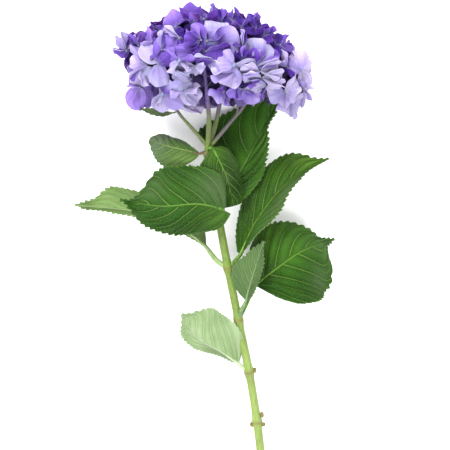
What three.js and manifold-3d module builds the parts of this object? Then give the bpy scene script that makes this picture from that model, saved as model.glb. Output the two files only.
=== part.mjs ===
// A cut mophead hydrangea lying on a flat surface, in millimetres with Z up.
// The flower head points along +Y, and the face that is seen from above is the front.
import * as THREE from "three";
import { mergeVertices } from "three/addons/utils/BufferGeometryUtils.js";
import Module from "manifold-3d";

const wasm = await Module();
wasm.setup();

// Driving dimensions
const SEAT_GAP = 0.3;
const STEM_RADIUS_TOP = 3.4;
const STEM_RADIUS_CUT = 4.0;
const NODE_SWELLING = 1.1;
const NODE_LENGTH = 4.5;
const STEM_SIDES = 8;
const BLADE_THICKNESS = 0.8;
const TOOTH_DEPTH = 1.7;
const TOOTH_LEAN = 0.72;
const PETIOLE_RADIUS = 1.9;
const PETIOLE_SIDES = 5;
const SEPAL_THICKNESS = 0.8;
const FLORET_COUNT = 82;
const FLORET_RADIUS = 18.5;
const FLORET_RADIUS_SPREAD = 2;
const PEDICEL_RADIUS = 1.0;
const LAYER_STEP = 0.045;
const SLIMMEST_HALF = 0.9;
const LOBE_END = 0.3;
// Where along the midrib a blade's half widths are given
const STATIONS = [0, 0.06, 0.15, 0.3, 0.45, 0.6, 0.7, 0.78, 0.84, 0.92, 1];
const GOLDEN_ANGLE = Math.PI * (3 - Math.sqrt(5));

// The shift that puts the middle of the resting flower at the origin
const PLACE = new THREE.Vector3(0.1, 6.2, 0);

// The flower head: a flattened dome round its own axis, with an open underside for the rays
const HEAD = {
  centre: new THREE.Vector3(10.5, 148, 65),
  halfWidth: 82,
  front: 68,
  back: 60,
  above: 53,
  below: 33,
  lowerFullness: 3,
  lastAngle: THREE.MathUtils.degToRad(142),
  nodBack: THREE.MathUtils.degToRad(-3),
  leanRight: THREE.MathUtils.degToRad(-4.5),
  rightShoulder: 0.18,
  leftShoulder: 0.04,
  lowerLeft: 0.07,
};
const CORE_SCALE = 0.56;
const CORE_RISE = 6;

// Colours and finishes
const FINISH = {
  stem: new THREE.MeshStandardMaterial({ color: 0x8aa24e, roughness: 0.55 }),
  petal: new THREE.MeshStandardMaterial({ color: 0x9f7fdc, roughness: 0.7 }),
  leaf: new THREE.MeshStandardMaterial({ color: 0x4a7a2e, roughness: 0.45 }),
  leafPale: new THREE.MeshStandardMaterial({ color: 0x8fb878, roughness: 0.65 }),
};

// The stem's nodes from the flower head down to the cut end
const NODES = [
  [2.5, 77, 57.5],
  [11.4, 25.2, 47.8],
  [21.3, -28, 38],
  [30.8, -75.4, 29.3],
  [40.5, -123.2, 20.6],
  [47.9, -169.5, 12.3],
];
const CUT_END = [53.5, -218, 3.75];

// The rays that carry the flower head, and the two that fork off them: points and end radii
const RAYS = [
  { points: [NODES[0], [1.6, 83, 60], [-10.8, 97, 66], [-23, 111, 74], [-33, 130, 84]], radii: [1.7, 1.2] },
  { points: [NODES[0], [3.4, 85, 62], [4.4, 104, 78], [3, 122, 94], [0, 152, 110]], radii: [2.6, 1.5] },
  { points: [NODES[0], [6, 87, 58], [11.4, 106, 58], [15, 127, 62], [18, 142, 66]], radii: [2.2, 1.7] },
  { points: [NODES[0], [8, 84, 60], [22, 100.5, 68], [35, 116, 76], [46, 135, 80]], radii: [1.9, 1.3] },
  { points: [[-21, 108.5, 72.5], [-27, 115, 74], [-36, 124, 72], [-42, 136, 70]], radii: [1.1, 0.9] },
  { points: [[29, 108, 72], [30, 116, 78], [29, 126, 86], [27, 138, 88]], radii: [1.0, 0.9] },
];

// Buds and leaf scars beside the lowest node and one above it: centre and radii
const BUDS = [
  { at: [43.4, -171.5, 12.4], radii: [2.2, 2.6, 2.2] },
  { at: [53.4, -171.5, 12.6], radii: [2.6, 2.0, 2.2] },
  { at: [52.4, -162.6, 14.4], radii: [1.9, 2.8, 1.9] },
  { at: [45.6, -121.5, 21.4], radii: [1.9, 2.6, 1.9] },
];

// Each leaf: its stalk's points, its midrib's points, the way its upper face looks at base, middle
// and tip, and how far its left and right halves reach at the stations. Fold and droop are angles
// across the blade, left and right.
const LEAVES = [
  {
    name: "leaf_top_left",
    stalk: [NODES[0], [-1, 75.4, 59.5], [-4.5, 74.4, 60.5]],
    stalkRadius: 1.3,
    midrib: [[-4.5, 74.4, 60.5], [-19, 78, 64], [-34.9, 82, 59], [-49.7, 87.6, 43]],
    faces: [[0, 0.35, 1], [0, 0.3, 1], [-0.5, 0.3, 1]],
    left: [2, 7, 12, 18, 20, 19, 17, 14, 11.5, 7, 0],
    right: [1, 3, 5, 10.5, 13, 14, 14, 13, 11.5, 8, 0],
    fold: [-0.15, 0.1],
    droop: [0.5, 0.7],
    teeth: 8,
    finish: "leaf",
  },
  {
    name: "leaf_front_heart",
    stalk: [NODES[0], [5, 79.5, 61], [7.5, 79.6, 64]],
    midrib: [[7.5, 79.6, 64], [13.3, 68.6, 64.5], [21, 50.8, 60], [26.6, 27.8, 50]],
    faces: [[0, -0.1, 1], [0.05, -0.1, 1], [0.1, -0.3, 1]],
    left: [1.7, 9.5, 13.5, 15.5, 15.5, 14, 13.6, 13, 12.2, 10.4, 7.5],
    right: [1.7, 9, 19, 15, 10, 9, 9, 8.8, 8.6, 8, 7],
    fold: [0.1, 0.1],
    droop: [0.7, 0.5],
    teeth: 8,
    finish: "leaf",
  },
  {
    name: "leaf_front_large",
    stalk: [NODES[1], [15, 25.6, 54], [16.8, 24.6, 62]],
    midrib: [[16.8, 24.6, 62], [-5.3, 29.4, 75], [-39, 27.6, 75], [-75.4, 33.2, 58]],
    faces: [[0.2, 0, 1], [0, 0.05, 1], [-0.25, 0.1, 1]],
    left: [0.9, 18, 24.5, 28, 27.8, 23.6, 20, 15.8, 10.4, 3.5, 0],
    right: [0.9, 23.1, 31.3, 35, 36, 36.2, 31.5, 15.4, 6, 1, 0],
    fold: [0.15, 0.15],
    droop: [0.5, 0.35],
    lobes: [9, 3],
    teeth: 10,
    finish: "leaf",
  },
  {
    name: "leaf_back_dark",
    stalk: [NODES[1], [13.8, 27.5, 44], [16.5, 32, 40]],
    midrib: [[16.5, 32, 40], [33.8, 61.9, 35], [51, 93.5, 19], [64.5, 118, 4.5], [70, 130, 3]],
    faces: [[-0.1, 0.1, 1], [-0.1, 0.4, 1], [0, 0.1, 1]],
    left: [0, 13, 20, 34, 54, 44, 36, 30, 25, 15, 0],
    right: [4, 12.6, 17, 20, 15.5, 9.5, 3, 2.4, 3, 2.2, 0],
    fold: [0.05, 0.2],
    droop: [0.1, 0.3],
    teeth: 10,
    finish: "leaf",
  },
  {
    name: "leaf_left_pale",
    stalk: [NODES[2], [10, -22.5, 36], [1.4, -9.1, 34]],
    midrib: [[1.4, -9.1, 34], [-22, 9, 36], [-62, 23, 30], [-119.6, 29.1, 10]],
    faces: [[0.2, 0.3, -1], [0, 0.25, -1], [0, 0.2, -1]],
    left: [0.9, 8.7, 16.6, 20, 19, 20.5, 21.3, 15.8, 8.5, 4.3, 0],
    right: [0.9, 2.9, 5.5, 7.5, 7.5, 6.4, 5.9, 4.6, 4.6, 4.4, 0],
    fold: [0.15, 0.7],
    droop: [0.3, 0.3],
    teeth: 10,
    finish: "leafPale",
  },
  {
    name: "leaf_right_bright",
    stalk: [NODES[2], [27, -22.5, 39.5], [32.6, -15.8, 40]],
    midrib: [[32.6, -15.8, 40], [47.4, 15.3, 43], [74.8, 48.6, 44], [113.1, 71.1, 34]],
    faces: [[-0.35, 0.15, 1], [-0.35, 0.25, 1], [-0.2, 0.2, 1]],
    left: [3.5, 8, 14, 23.5, 29.5, 31, 28.5, 24, 17, 6, 0],
    right: [1, 5, 11, 18, 21, 14, 9, 4, 2.2, 1.2, 0],
    fold: [0.05, 0.85],
    droop: [0.35, 0.3],
    teeth: 10,
    finish: "leaf",
  },
  {
    name: "leaf_lower_broad",
    stalk: [NODES[3], [37.5, -62, 28.5], [46, -44, 29]],
    midrib: [[46, -44, 29], [62, -31, 38], [88, -13, 38], [119, -1.8, 10]],
    faces: [[0, 0, 1], [0, 0.05, 1], [0.3, 0.4, 1]],
    left: [0, 17, 28, 36, 37.5, 31, 21, 12, 6, 3, 0],
    right: [0, 14, 28, 42.5, 47, 43, 40, 29, 6, 3, 0],
    fold: [0.1, 0.05],
    droop: [0.35, 0.18],
    teeth: 10,
    finish: "leaf",
  },
  {
    name: "leaf_lower_grey",
    stalk: [NODES[3], [33, -67, 35], [37.5, -57, 40]],
    midrib: [[37.5, -57, 40], [42, -40, 47], [47, -24, 50], [53.5, -3.5, 48]],
    faces: [[0.2, 0, -1], [0.25, 0, -1], [0.2, 0, -1]],
    left: [0.9, 4, 5.5, 6.5, 7, 6.7, 5.5, 3.8, 2.4, 1.2, 0],
    right: [0.9, 7.5, 13, 18, 19.5, 16.5, 12, 10, 8, 4, 0],
    fold: [0.3, 0.2],
    droop: [0.3, 0.3],
    teeth: 7,
    finish: "leafPale",
  },
  {
    name: "leaf_bottom_folded",
    stalk: [NODES[4], [36, -120, 22], [31, -115.5, 23]],
    midrib: [[31, -115.5, 23], [14, -104, 27], [-6, -92, 25], [-21.5, -70.8, 9]],
    faces: [[0, 0, -1], [0, 0.1, -1], [0.1, 0.15, -1]],
    left: [0.9, 13.5, 21.9, 29.7, 32.7, 32.1, 29.7, 26.4, 21, 8.4, 0],
    right: [0.9, 2, 3.5, 5.5, 9, 11.7, 12.5, 12.8, 11.5, 7, 0],
    fold: [0.1, 0.6],
    droop: [0.35, 0.2],
    teeth: 10,
    finish: "leafPale",
  },
  {
    name: "bract",
    stalk: [[-24, 111.5, 74.2], [-26, 110.5, 75], [-28.6, 110, 76]],
    midrib: [[-28.6, 110, 76], [-37, 109.5, 79], [-47, 111.5, 79], [-56.9, 113.9, 75]],
    faces: [[0, -0.4, 1], [0, -0.4, 1], [0, -0.4, 1]],
    left: [0.9, 1.2, 2, 2.8, 3.1, 3, 2.6, 2.1, 1.6, 0.9, 0],
    right: [0.9, 1.2, 2, 2.8, 3.1, 3, 2.6, 2.1, 1.6, 0.9, 0],
    fold: [0.2, 0.2],
    droop: [0.1, 0.1],
    teeth: 4,
    finish: "leaf",
  },
];

// The florets that show most on the front of the head: place, way they look, radius, turn and cup
const FRONT_FLORETS = [
  { at: [23, 145.5, 134], facing: [0.1, -0.15, 1], radius: 18, turn: -5, cup: 2 },
  { at: [-35, 124, 117], facing: [-0.2, -0.5, 0.84], radius: 20, turn: -10, cup: 3 },
  { at: [-59.5, 133, 90], facing: [-0.55, -0.15, 0.82], radius: 18, turn: 80, cup: -3 },
  { at: [-67, 167, 72], facing: [-0.93, 0.3, 0.2], radius: 15, turn: 20, cup: 5 },
  { at: [-47.5, 149, 112], facing: [-0.45, 0.05, 0.9], radius: 20, turn: 80, cup: 1 },
  { at: [-20, 152, 130], facing: [-0.1, -0.3, 0.95], radius: 18, turn: 10, cup: 3 },
  { at: [45.5, 147.5, 122], facing: [0.25, 0.35, 0.9], radius: 20, turn: 0, cup: 5 },
  { at: [16, 172.5, 123], facing: [0, 0.5, 0.86], radius: 20.5, turn: 45, cup: -3 },
  { at: [-24, 186, 98], facing: [-0.25, 0.8, 0.55], radius: 19, turn: 30, cup: -2 },
  { at: [-5, 198, 82], facing: [-0.05, 0.95, 0.3], radius: 18, turn: 15, cup: -2 },
  { at: [32, 191, 84], facing: [0.15, 0.9, 0.4], radius: 17, turn: 50, cup: 2 },
  { at: [83, 156, 84], facing: [0.75, 0.3, 0.6], radius: 18, turn: 25, cup: -2 },
  { at: [86, 135, 78], facing: [0.85, -0.1, 0.5], radius: 18, turn: 70, cup: -1 },
  { at: [69.5, 122, 94], facing: [0.4, -0.4, 0.82], radius: 19, turn: 35, cup: 2 },
  { at: [44, 125, 109], facing: [0.1, -0.6, 0.8], radius: 17, turn: 5, cup: 0 },
  { at: [-47.5, 177, 90], facing: [-0.5, 0.7, 0.5], radius: 16, turn: 60, cup: 2 },
  { at: [61, 175, 93], facing: [0.45, 0.75, 0.5], radius: 18, turn: 10, cup: -2 },
  { at: [-9, 170, 127], facing: [-0.1, 0.45, 0.88], radius: 18, turn: 75, cup: 3 },
  { at: [-15, 132, 122], facing: [0.15, -0.35, 0.92], radius: 15, turn: 40, cup: 2 },
  { at: [65, 141.5, 115], facing: [0.45, 0, 0.9], radius: 19, turn: 60, cup: 2 },
  { at: [24, 125, 107], facing: [0.1, -0.7, 0.7], radius: 15, turn: 20, cup: 1 },
  { at: [10, 190, 101], facing: [0.1, 0.75, 0.65], radius: 18, turn: 65, cup: 2 },
  { at: [39, 171, 110], facing: [0.3, 0.6, 0.75], radius: 18, turn: 35, cup: 2 },
];
const FRONT_CLEARANCE = 18;

// Three florets under the head that its weight presses flat on the surface
const PRESSED_FLORETS = [
  { at: [-14, 163, 0], turn: 20 },
  { at: [25, 164, 0], turn: 50 },
  { at: [6, 134, 0], turn: 5 },
];
const PRESSED_RADIUS = 17;

// The open slot in the front of the head where the thickest ray shows
const RAY_SLOT = { x: 3, halfWidth: 11, top: 150, behind: 78 };

// Helpers: vectors, repeatable random numbers, closed meshes and solids
function vector(values) {
  return new THREE.Vector3(...values);
}

function seeded(seed) {
  let state = seed;
  return () => {
    state = (Math.imul(state, 1664525) + 1013904223) >>> 0;
    return state / 4294967296;
  };
}

function meshOf(positions, triangles) {
  const geometry = new THREE.BufferGeometry();
  geometry.setAttribute("position", new THREE.Float32BufferAttribute(positions, 3));
  geometry.setIndex(triangles);
  return geometry;
}

function solidOf(geometry) {
  const bare = geometry.clone();
  bare.deleteAttribute("normal");
  bare.deleteAttribute("uv");
  const merged = mergeVertices(bare);
  const mesh = new wasm.Mesh({
    numProp: 3,
    vertProperties: merged.attributes.position.array,
    triVerts: new Uint32Array(merged.index.array),
  });
  return new wasm.Manifold(mesh);
}

function largestBody(solid) {
  const bodies = solid.decompose();
  return bodies.reduce((best, body) => (body.volume() > best.volume() ? body : best));
}

function namedMesh(name, solid, material) {
  const mesh = solid.getMesh();
  const geometry = meshOf(Array.from(mesh.vertProperties), Array.from(mesh.triVerts));
  geometry.computeVertexNormals();
  const made = new THREE.Mesh(geometry, material);
  made.name = name;
  return made;
}

function smoothCurve(points) {
  return new THREE.CatmullRomCurve3(points.map(vector), false, "catmullrom", 0.5);
}

// A round rod along a curve: stops are the places of its rings, radiusAt gives their radii, and
// overrun is how far the rod runs on past both ends of the curve
function rod(curve, stops, radiusAt, sides, overrun) {
  const positions = [];
  const triangles = [];
  const side = new THREE.Vector3(0.31, 0.2, 1);
  stops.forEach((stop, ring) => {
    const centre = curve.getPoint(stop);
    const tangent = curve.getTangent(stop);
    if (ring === 0) centre.addScaledVector(tangent, -overrun);
    if (ring === stops.length - 1) centre.addScaledVector(tangent, overrun);
    side.addScaledVector(tangent, -side.dot(tangent)).normalize();
    const across = new THREE.Vector3().crossVectors(tangent, side);
    for (let k = 0; k < sides; k += 1) {
      const angle = (2 * Math.PI * k) / sides;
      const point = centre
        .clone()
        .addScaledVector(side, radiusAt(stop) * Math.cos(angle))
        .addScaledVector(across, radiusAt(stop) * Math.sin(angle));
      positions.push(point.x, point.y, point.z);
      if (ring > 0) {
        const next = (k + 1) % sides;
        const below = (ring - 1) * sides;
        const above = ring * sides;
        triangles.push(below + k, below + next, above + next);
        triangles.push(below + k, above + next, above + k);
      }
    }
  });
  const last = (stops.length - 1) * sides;
  for (let k = 1; k < sides - 1; k += 1) {
    triangles.push(0, k + 1, k);
    triangles.push(last, last + k, last + k + 1);
  }
  return solidOf(meshOf(positions, triangles));
}

function evenStops(count) {
  return Array.from({ length: count + 1 }, (unused, i) => i / count);
}

// The main stem, thicker at the cut end and swollen at its nodes
function stemRod(growth) {
  const curve = smoothCurve([...NODES, CUT_END]);
  const spans = NODES.length;
  const nearNode = [0, 0.04, 0.09, 0.5, 0.91, 0.96];
  const stops = [];
  for (let i = 0; i < spans; i += 1) {
    nearNode.forEach((part) => stops.push((i + part) / spans));
  }
  stops.push(1);
  const spanLength = curve.getLength() / spans;
  const radiusAt = (t) => {
    const nearest = Math.min(Math.round(t * spans), spans - 1);
    const away = (t * spans - nearest) * (spanLength / NODE_LENGTH);
    const swelling = NODE_SWELLING * Math.exp(-away * away);
    return THREE.MathUtils.lerp(STEM_RADIUS_TOP, STEM_RADIUS_CUT, t) + swelling + growth;
  };
  return rod(curve, stops, radiusAt, STEM_SIDES, growth);
}

function rayRods(growth) {
  return RAYS.map((ray) => {
    const radiusAt = (t) => THREE.MathUtils.lerp(ray.radii[0], ray.radii[1], t) + growth;
    return rod(smoothCurve(ray.points), evenStops(6), radiusAt, PETIOLE_SIDES, growth);
  }).reduce((all, one) => all.add(one));
}

function bud(spec) {
  const ball = new THREE.SphereGeometry(1, 7, 4);
  ball.scale(...spec.radii);
  ball.translate(...spec.at);
  return solidOf(ball);
}

function stem() {
  const buds = BUDS.map(bud).reduce((all, one) => all.add(one));
  return largestBody(stemRod(0).add(rayRods(0)).add(buds));
}

// The slope at each station of a smooth line that never swings past its values
function calmSlopes(values) {
  const rises = values.slice(1).map((value, i) => (value - values[i]) / (STATIONS[i + 1] - STATIONS[i]));
  return values.map((unused, i) => {
    const before = rises[Math.max(i - 1, 0)];
    const after = rises[Math.min(i, rises.length - 1)];
    return before * after > 0 ? (2 * before * after) / (before + after) : 0;
  });
}

// The smooth line through one value for each station
function throughStations(values) {
  const slopes = calmSlopes(values);
  return (u) => {
    const found = STATIONS.findIndex((station) => station > u);
    const next = found < 0 ? STATIONS.length - 1 : found;
    const span = STATIONS[next] - STATIONS[next - 1];
    const t = (u - STATIONS[next - 1]) / span;
    const start = values[next - 1];
    const rise = values[next] - start;
    const first = slopes[next - 1] * span;
    const last = slopes[next] * span;
    return start + t * (first + t * (3 * rise - 2 * first - last + t * (first + last - 2 * rise)));
  };
}

// How far each half of a blade reaches from the midrib, as two functions of u
function halfWidths(leaf) {
  return [throughStations(leaf.left), throughStations(leaf.right)];
}

function widestHalves(leaf) {
  return [Math.max(...leaf.left), Math.max(...leaf.right)];
}

// A point of a leaf's middle surface: u runs from base to tip, s from the left edge to the right
function leafSurface(leaf) {
  const curve = smoothCurve(leaf.midrib);
  const faces = leaf.faces.map((face) => vector(face).normalize());
  const reaches = halfWidths(leaf);
  const widest = widestHalves(leaf);
  const lobes = leaf.lobes ?? [0, 0];
  return (u, s) => {
    const centre = curve.getPointAt(u);
    const along = curve.getTangentAt(u);
    const up = u < 0.5
      ? faces[0].clone().lerp(faces[1], 2 * u)
      : faces[1].clone().lerp(faces[2], 2 * u - 1);
    up.addScaledVector(along, -up.dot(along)).normalize();
    const right = new THREE.Vector3().crossVectors(along, up);
    const half = s < 0 ? 0 : 1;
    const away = Math.abs(s) * Math.max(reaches[half](u), SLIMMEST_HALF);
    const angle = leaf.fold[half] - (leaf.droop[half] * away) / widest[half];
    const lobe = lobes[half] * Math.abs(s) * (1 - THREE.MathUtils.smoothstep(u, 0, LOBE_END));
    return centre
      .addScaledVector(along, -lobe)
      .addScaledVector(right, Math.sign(s) * away * Math.cos(angle))
      .addScaledVector(up, away * Math.sin(angle));
  };
}

function surfaceNormal(surface, u, s) {
  const step = 0.004;
  const uLow = Math.max(u - step, 0);
  const uHigh = Math.min(u + step, 1);
  const alongU = surface(uHigh, s).sub(surface(uLow, s));
  const alongS = surface(u, s + 0.1).sub(surface(u, s - 0.1));
  return alongS.cross(alongU).normalize();
}

// A closed sheet of even thickness over rows of surface places, split alike on both faces
function sheet(surface, rows, thickness) {
  const across = rows[0].length;
  const positions = [];
  [0.5, -0.5].forEach((part) => {
    rows.flat().forEach(([u, s]) => {
      const point = surface(u, s).addScaledVector(surfaceNormal(surface, u, s), part * thickness);
      positions.push(point.x, point.y, point.z);
    });
  });
  const under = rows.length * across;
  const triangles = [];
  const quad = (a, b, c, d) => triangles.push(a, b, c, a, c, d);
  for (let i = 0; i < rows.length - 1; i += 1) {
    for (let j = 0; j < across - 1; j += 1) {
      const a = i * across + j;
      const b = a + 1;
      const c = b + across;
      const d = a + across;
      triangles.push(a, b, c, a, c, d);
      triangles.push(under + a, under + c, under + b, under + a, under + d, under + c);
    }
    const left = i * across;
    const right = left + across - 1;
    quad(left, left + across, under + left + across, under + left);
    quad(right + across, right, under + right, under + right + across);
  }
  for (let j = 0; j < across - 1; j += 1) {
    const tip = (rows.length - 1) * across + j;
    quad(j + 1, j, under + j, under + j + 1);
    quad(tip, tip + 1, under + tip + 1, under + tip);
  }
  return solidOf(meshOf(positions, triangles));
}

// Rows of places over a blade, with forward-pointing teeth along both edges
function toothedRows(teeth, width) {
  const depth = TOOTH_DEPTH / width;
  const rows = [];
  const row = (u, edge) => [-edge, -0.5, 0, 0.5, edge].map((s) => [u, s]);
  for (let k = 0; k < teeth; k += 1) {
    rows.push(row(k / teeth, 1 - depth / 2));
    rows.push(row((k + TOOTH_LEAN) / teeth, 1 + depth / 2));
  }
  rows.push(row(1, 1));
  return rows;
}

function leaf(spec, grownStem) {
  const surface = leafSurface(spec);
  const width = Math.max(...widestHalves(spec));
  const rows = toothedRows(spec.teeth, width);
  const blade = sheet(surface, rows, BLADE_THICKNESS);
  const sunk = [surface(0.03, 0), surface(0.12, 0)].map((point) => point.toArray());
  const stalkCurve = smoothCurve([...spec.stalk, ...sunk]);
  const thick = spec.stalkRadius ?? Math.min(PETIOLE_RADIUS, width / 5);
  const radiusAt = (t) => THREE.MathUtils.lerp(thick, thick * 0.5, t);
  const stalk = rod(stalkCurve, evenStops(6), radiusAt, PETIOLE_SIDES, 0);
  return largestBody(blade.add(stalk).subtract(grownStem));
}

// The flower head's own frame, and its dome: angle 0 is the crown, turn goes round the axis
const headFrame = new THREE.Matrix4()
  .makeTranslation(HEAD.centre)
  .multiply(new THREE.Matrix4().makeRotationZ(HEAD.leanRight))
  .multiply(new THREE.Matrix4().makeRotationX(HEAD.nodBack));

function domePoint(angle, turn, scale) {
  const ring = Math.sin(angle);
  const fullness = angle < Math.PI / 2 ? 2 : HEAD.lowerFullness;
  const height = Math.cos(angle);
  const round = angle < Math.PI / 2 ? ring : (1 - Math.abs(height) ** fullness) ** (1 / fullness);
  const side = Math.cos(turn);
  const shoulder = side > 0 ? HEAD.rightShoulder * side : -HEAD.leftShoulder * side;
  const lowerPull = side < 0 ? -HEAD.lowerLeft * side : 0;
  const reach = round * (height > 0 ? 1 - shoulder * Math.sin(2 * angle) : 1 - lowerPull);
  const depth = Math.sin(turn) > 0 ? HEAD.front : HEAD.back;
  return new THREE.Vector3(
    scale * HEAD.halfWidth * reach * Math.cos(turn),
    scale * (height > 0 ? HEAD.above : HEAD.below) * height,
    scale * depth * reach * Math.sin(turn),
  );
}

// Crown angles that give each floret the same area of the dome
function evenAngles(count) {
  const slices = 240;
  const areas = [0];
  for (let i = 1; i <= slices; i += 1) {
    const low = domePoint(((i - 1) / slices) * HEAD.lastAngle, 0, 1);
    const high = domePoint((i / slices) * HEAD.lastAngle, 0, 1);
    areas.push(areas[i - 1] + ((low.x + high.x) / 2) * low.distanceTo(high));
  }
  const total = areas[slices];
  return Array.from({ length: count }, (unused, i) => {
    const wanted = ((i + 0.5) / count) * total;
    const slice = areas.findIndex((area) => area >= wanted);
    return (slice / slices) * HEAD.lastAngle;
  });
}

// Where each floret stands, which way it looks, how it is turned and how wide, cupped and waved it is
function frontPlaces() {
  return FRONT_FLORETS.map((spec) => ({
    at: vector(spec.at),
    facing: vector(spec.facing).normalize(),
    spin: THREE.MathUtils.degToRad(spec.turn),
    radius: spec.radius,
    cup: spec.cup,
    wave: 1,
  }));
}

function pressedPlaces() {
  return PRESSED_FLORETS.map((spec) => ({
    at: vector(spec.at),
    facing: new THREE.Vector3(0, 0, -1),
    spin: THREE.MathUtils.degToRad(spec.turn),
    radius: PRESSED_RADIUS,
    cup: 0,
    wave: 0,
  }));
}

function inRaySlot(point) {
  const beside = Math.abs(point.x - RAY_SLOT.x) < RAY_SLOT.halfWidth;
  return beside && point.y < RAY_SLOT.top && point.z > RAY_SLOT.behind;
}

function floretPlaces() {
  const front = frontPlaces();
  const taken = [...front, ...pressedPlaces()];
  const clear = (place) => taken.every((other) => other.at.distanceTo(place.at) > FRONT_CLEARANCE);
  return [...front, ...spiralPlaces().filter((place) => clear(place) && !inRaySlot(place.at))];
}

function spiralPlaces() {
  const random = seeded(20);
  return evenAngles(FLORET_COUNT).map((angle, i) => {
    const turn = i * GOLDEN_ANGLE + 0.35 * (random() - 0.5);
    const lift = 0.97 + LAYER_STEP * (i % 3) + 0.02 * (random() - 0.5);
    const at = domePoint(angle, turn, lift);
    const facing = at.clone().divide(new THREE.Vector3(1, HEAD.above / HEAD.halfWidth, 1)).normalize();
    const wobble = new THREE.Vector3(random() - 0.5, random() - 0.5, random() - 0.5);
    facing.addScaledVector(wobble, 0.6).normalize();
    return {
      at: at.applyMatrix4(headFrame),
      facing: facing.transformDirection(headFrame),
      spin: random() * Math.PI,
      radius: FLORET_RADIUS + FLORET_RADIUS_SPREAD * (random() - 0.5),
      cup: 5 * (random() - 0.35),
      wave: 1,
    };
  });
}

// One floret: four broad lobes in one waved plate, with a three-sided pedicel down to the core
function floret(place, root) {
  const frame = new THREE.Quaternion().setFromUnitVectors(new THREE.Vector3(0, 0, 1), place.facing);
  const outline = [1, 0.95, 0.64, 0.9];
  const lobeHeights = [0.9, 1.3, 0, -0.7];
  const lobePoints = 16;
  const positions = [];
  const triangles = [];
  const put = (x, y, z) => {
    const point = new THREE.Vector3(x, y, z).applyQuaternion(frame).add(place.at);
    positions.push(point.x, point.y, point.z);
  };
  const rim = (lower) => {
    for (let k = 0; k < lobePoints; k += 1) {
      const angle = place.spin + (2 * Math.PI * k) / lobePoints;
      const pair = Math.floor((k + 1) / 4) % 2 === 0 ? 1 : -1;
      const reach = outline[k % 4] * (pair > 0 ? 1 : 0.93);
      const height = place.cup * reach * reach + place.wave * pair * lobeHeights[k % 4];
      const out = place.radius * reach;
      put(out * Math.cos(angle), out * Math.sin(angle), height - lower);
    }
  };
  put(0, 0, 0);
  rim(0);
  rim(SEPAL_THICKNESS);
  const pedicelTop = 2 * lobePoints + 1;
  for (let k = 0; k < 3; k += 1) {
    const angle = place.spin + (2 * Math.PI * k) / 3;
    put(PEDICEL_RADIUS * Math.cos(angle), PEDICEL_RADIUS * Math.sin(angle), -SEPAL_THICKNESS);
  }
  for (let k = 0; k < 3; k += 1) {
    const angle = place.spin + (2 * Math.PI * k) / 3;
    const corner = new THREE.Vector3(Math.cos(angle), Math.sin(angle), 0).applyQuaternion(frame);
    const point = root.clone().addScaledVector(corner, PEDICEL_RADIUS);
    positions.push(point.x, point.y, point.z);
  }
  for (let k = 0; k < lobePoints; k += 1) {
    const next = (k + 1) % lobePoints;
    const top = 1 + k;
    const topNext = 1 + next;
    const low = top + lobePoints;
    const lowNext = topNext + lobePoints;
    triangles.push(0, top, topNext);
    triangles.push(top, low, lowNext, top, lowNext, topNext);
    const corner = Math.floor((k * 3) / lobePoints + 0.5) % 3;
    const cornerNext = Math.floor(((k + 1) * 3) / lobePoints + 0.5) % 3;
    triangles.push(pedicelTop + corner, lowNext, low);
    if (corner !== cornerNext) {
      triangles.push(pedicelTop + corner, pedicelTop + cornerNext, lowNext);
    }
  }
  for (let k = 0; k < 3; k += 1) {
    const next = (k + 1) % 3;
    const foot = pedicelTop + 3;
    triangles.push(pedicelTop + k, foot + next, pedicelTop + next);
    triangles.push(pedicelTop + k, foot + k, foot + next);
  }
  triangles.push(pedicelTop + 3, pedicelTop + 5, pedicelTop + 4);
  return solidOf(meshOf(positions, triangles));
}

// The smaller core that the pedicels grow from
function core() {
  const shape = new THREE.SphereGeometry(CORE_SCALE, 14, 8);
  const middle = (HEAD.front + HEAD.back) / 2;
  shape.scale(HEAD.halfWidth, HEAD.above, middle);
  shape.translate(0, CORE_RISE, (HEAD.front - HEAD.back) / 2);
  shape.applyMatrix4(headFrame);
  return solidOf(shape);
}

function tableCut() {
  const block = new THREE.BoxGeometry(400, 400, 100);
  block.translate(HEAD.centre.x, HEAD.centre.y, -50);
  return solidOf(block);
}

function bloom(grownRays) {
  const middle = new THREE.Vector3(0, CORE_RISE, 0).applyMatrix4(headFrame);
  const grown = (place) => floret(place, middle.clone().lerp(place.at, 0.3));
  const dome = floretPlaces().map(grown).reduce((all, one) => all.add(one), core());
  const resting = pressedPlaces().map(grown).reduce((all, one) => all.add(one), dome.subtract(tableCut()));
  return largestBody(resting.subtract(grownRays));
}

const grownStem = stemRod(SEAT_GAP).add(rayRods(SEAT_GAP));
const hydrangea = new THREE.Group();
hydrangea.position.copy(PLACE);
hydrangea.add(namedMesh("stem", stem(), FINISH.stem));
LEAVES.forEach((spec) => {
  hydrangea.add(namedMesh(spec.name, leaf(spec, grownStem), FINISH[spec.finish]));
});
hydrangea.add(namedMesh("bloom", bloom(rayRods(SEAT_GAP)), FINISH.petal));

export default hydrangea;
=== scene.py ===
"""A cut hydrangea lying on a pale table, seen from above."""

import math
import random

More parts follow.
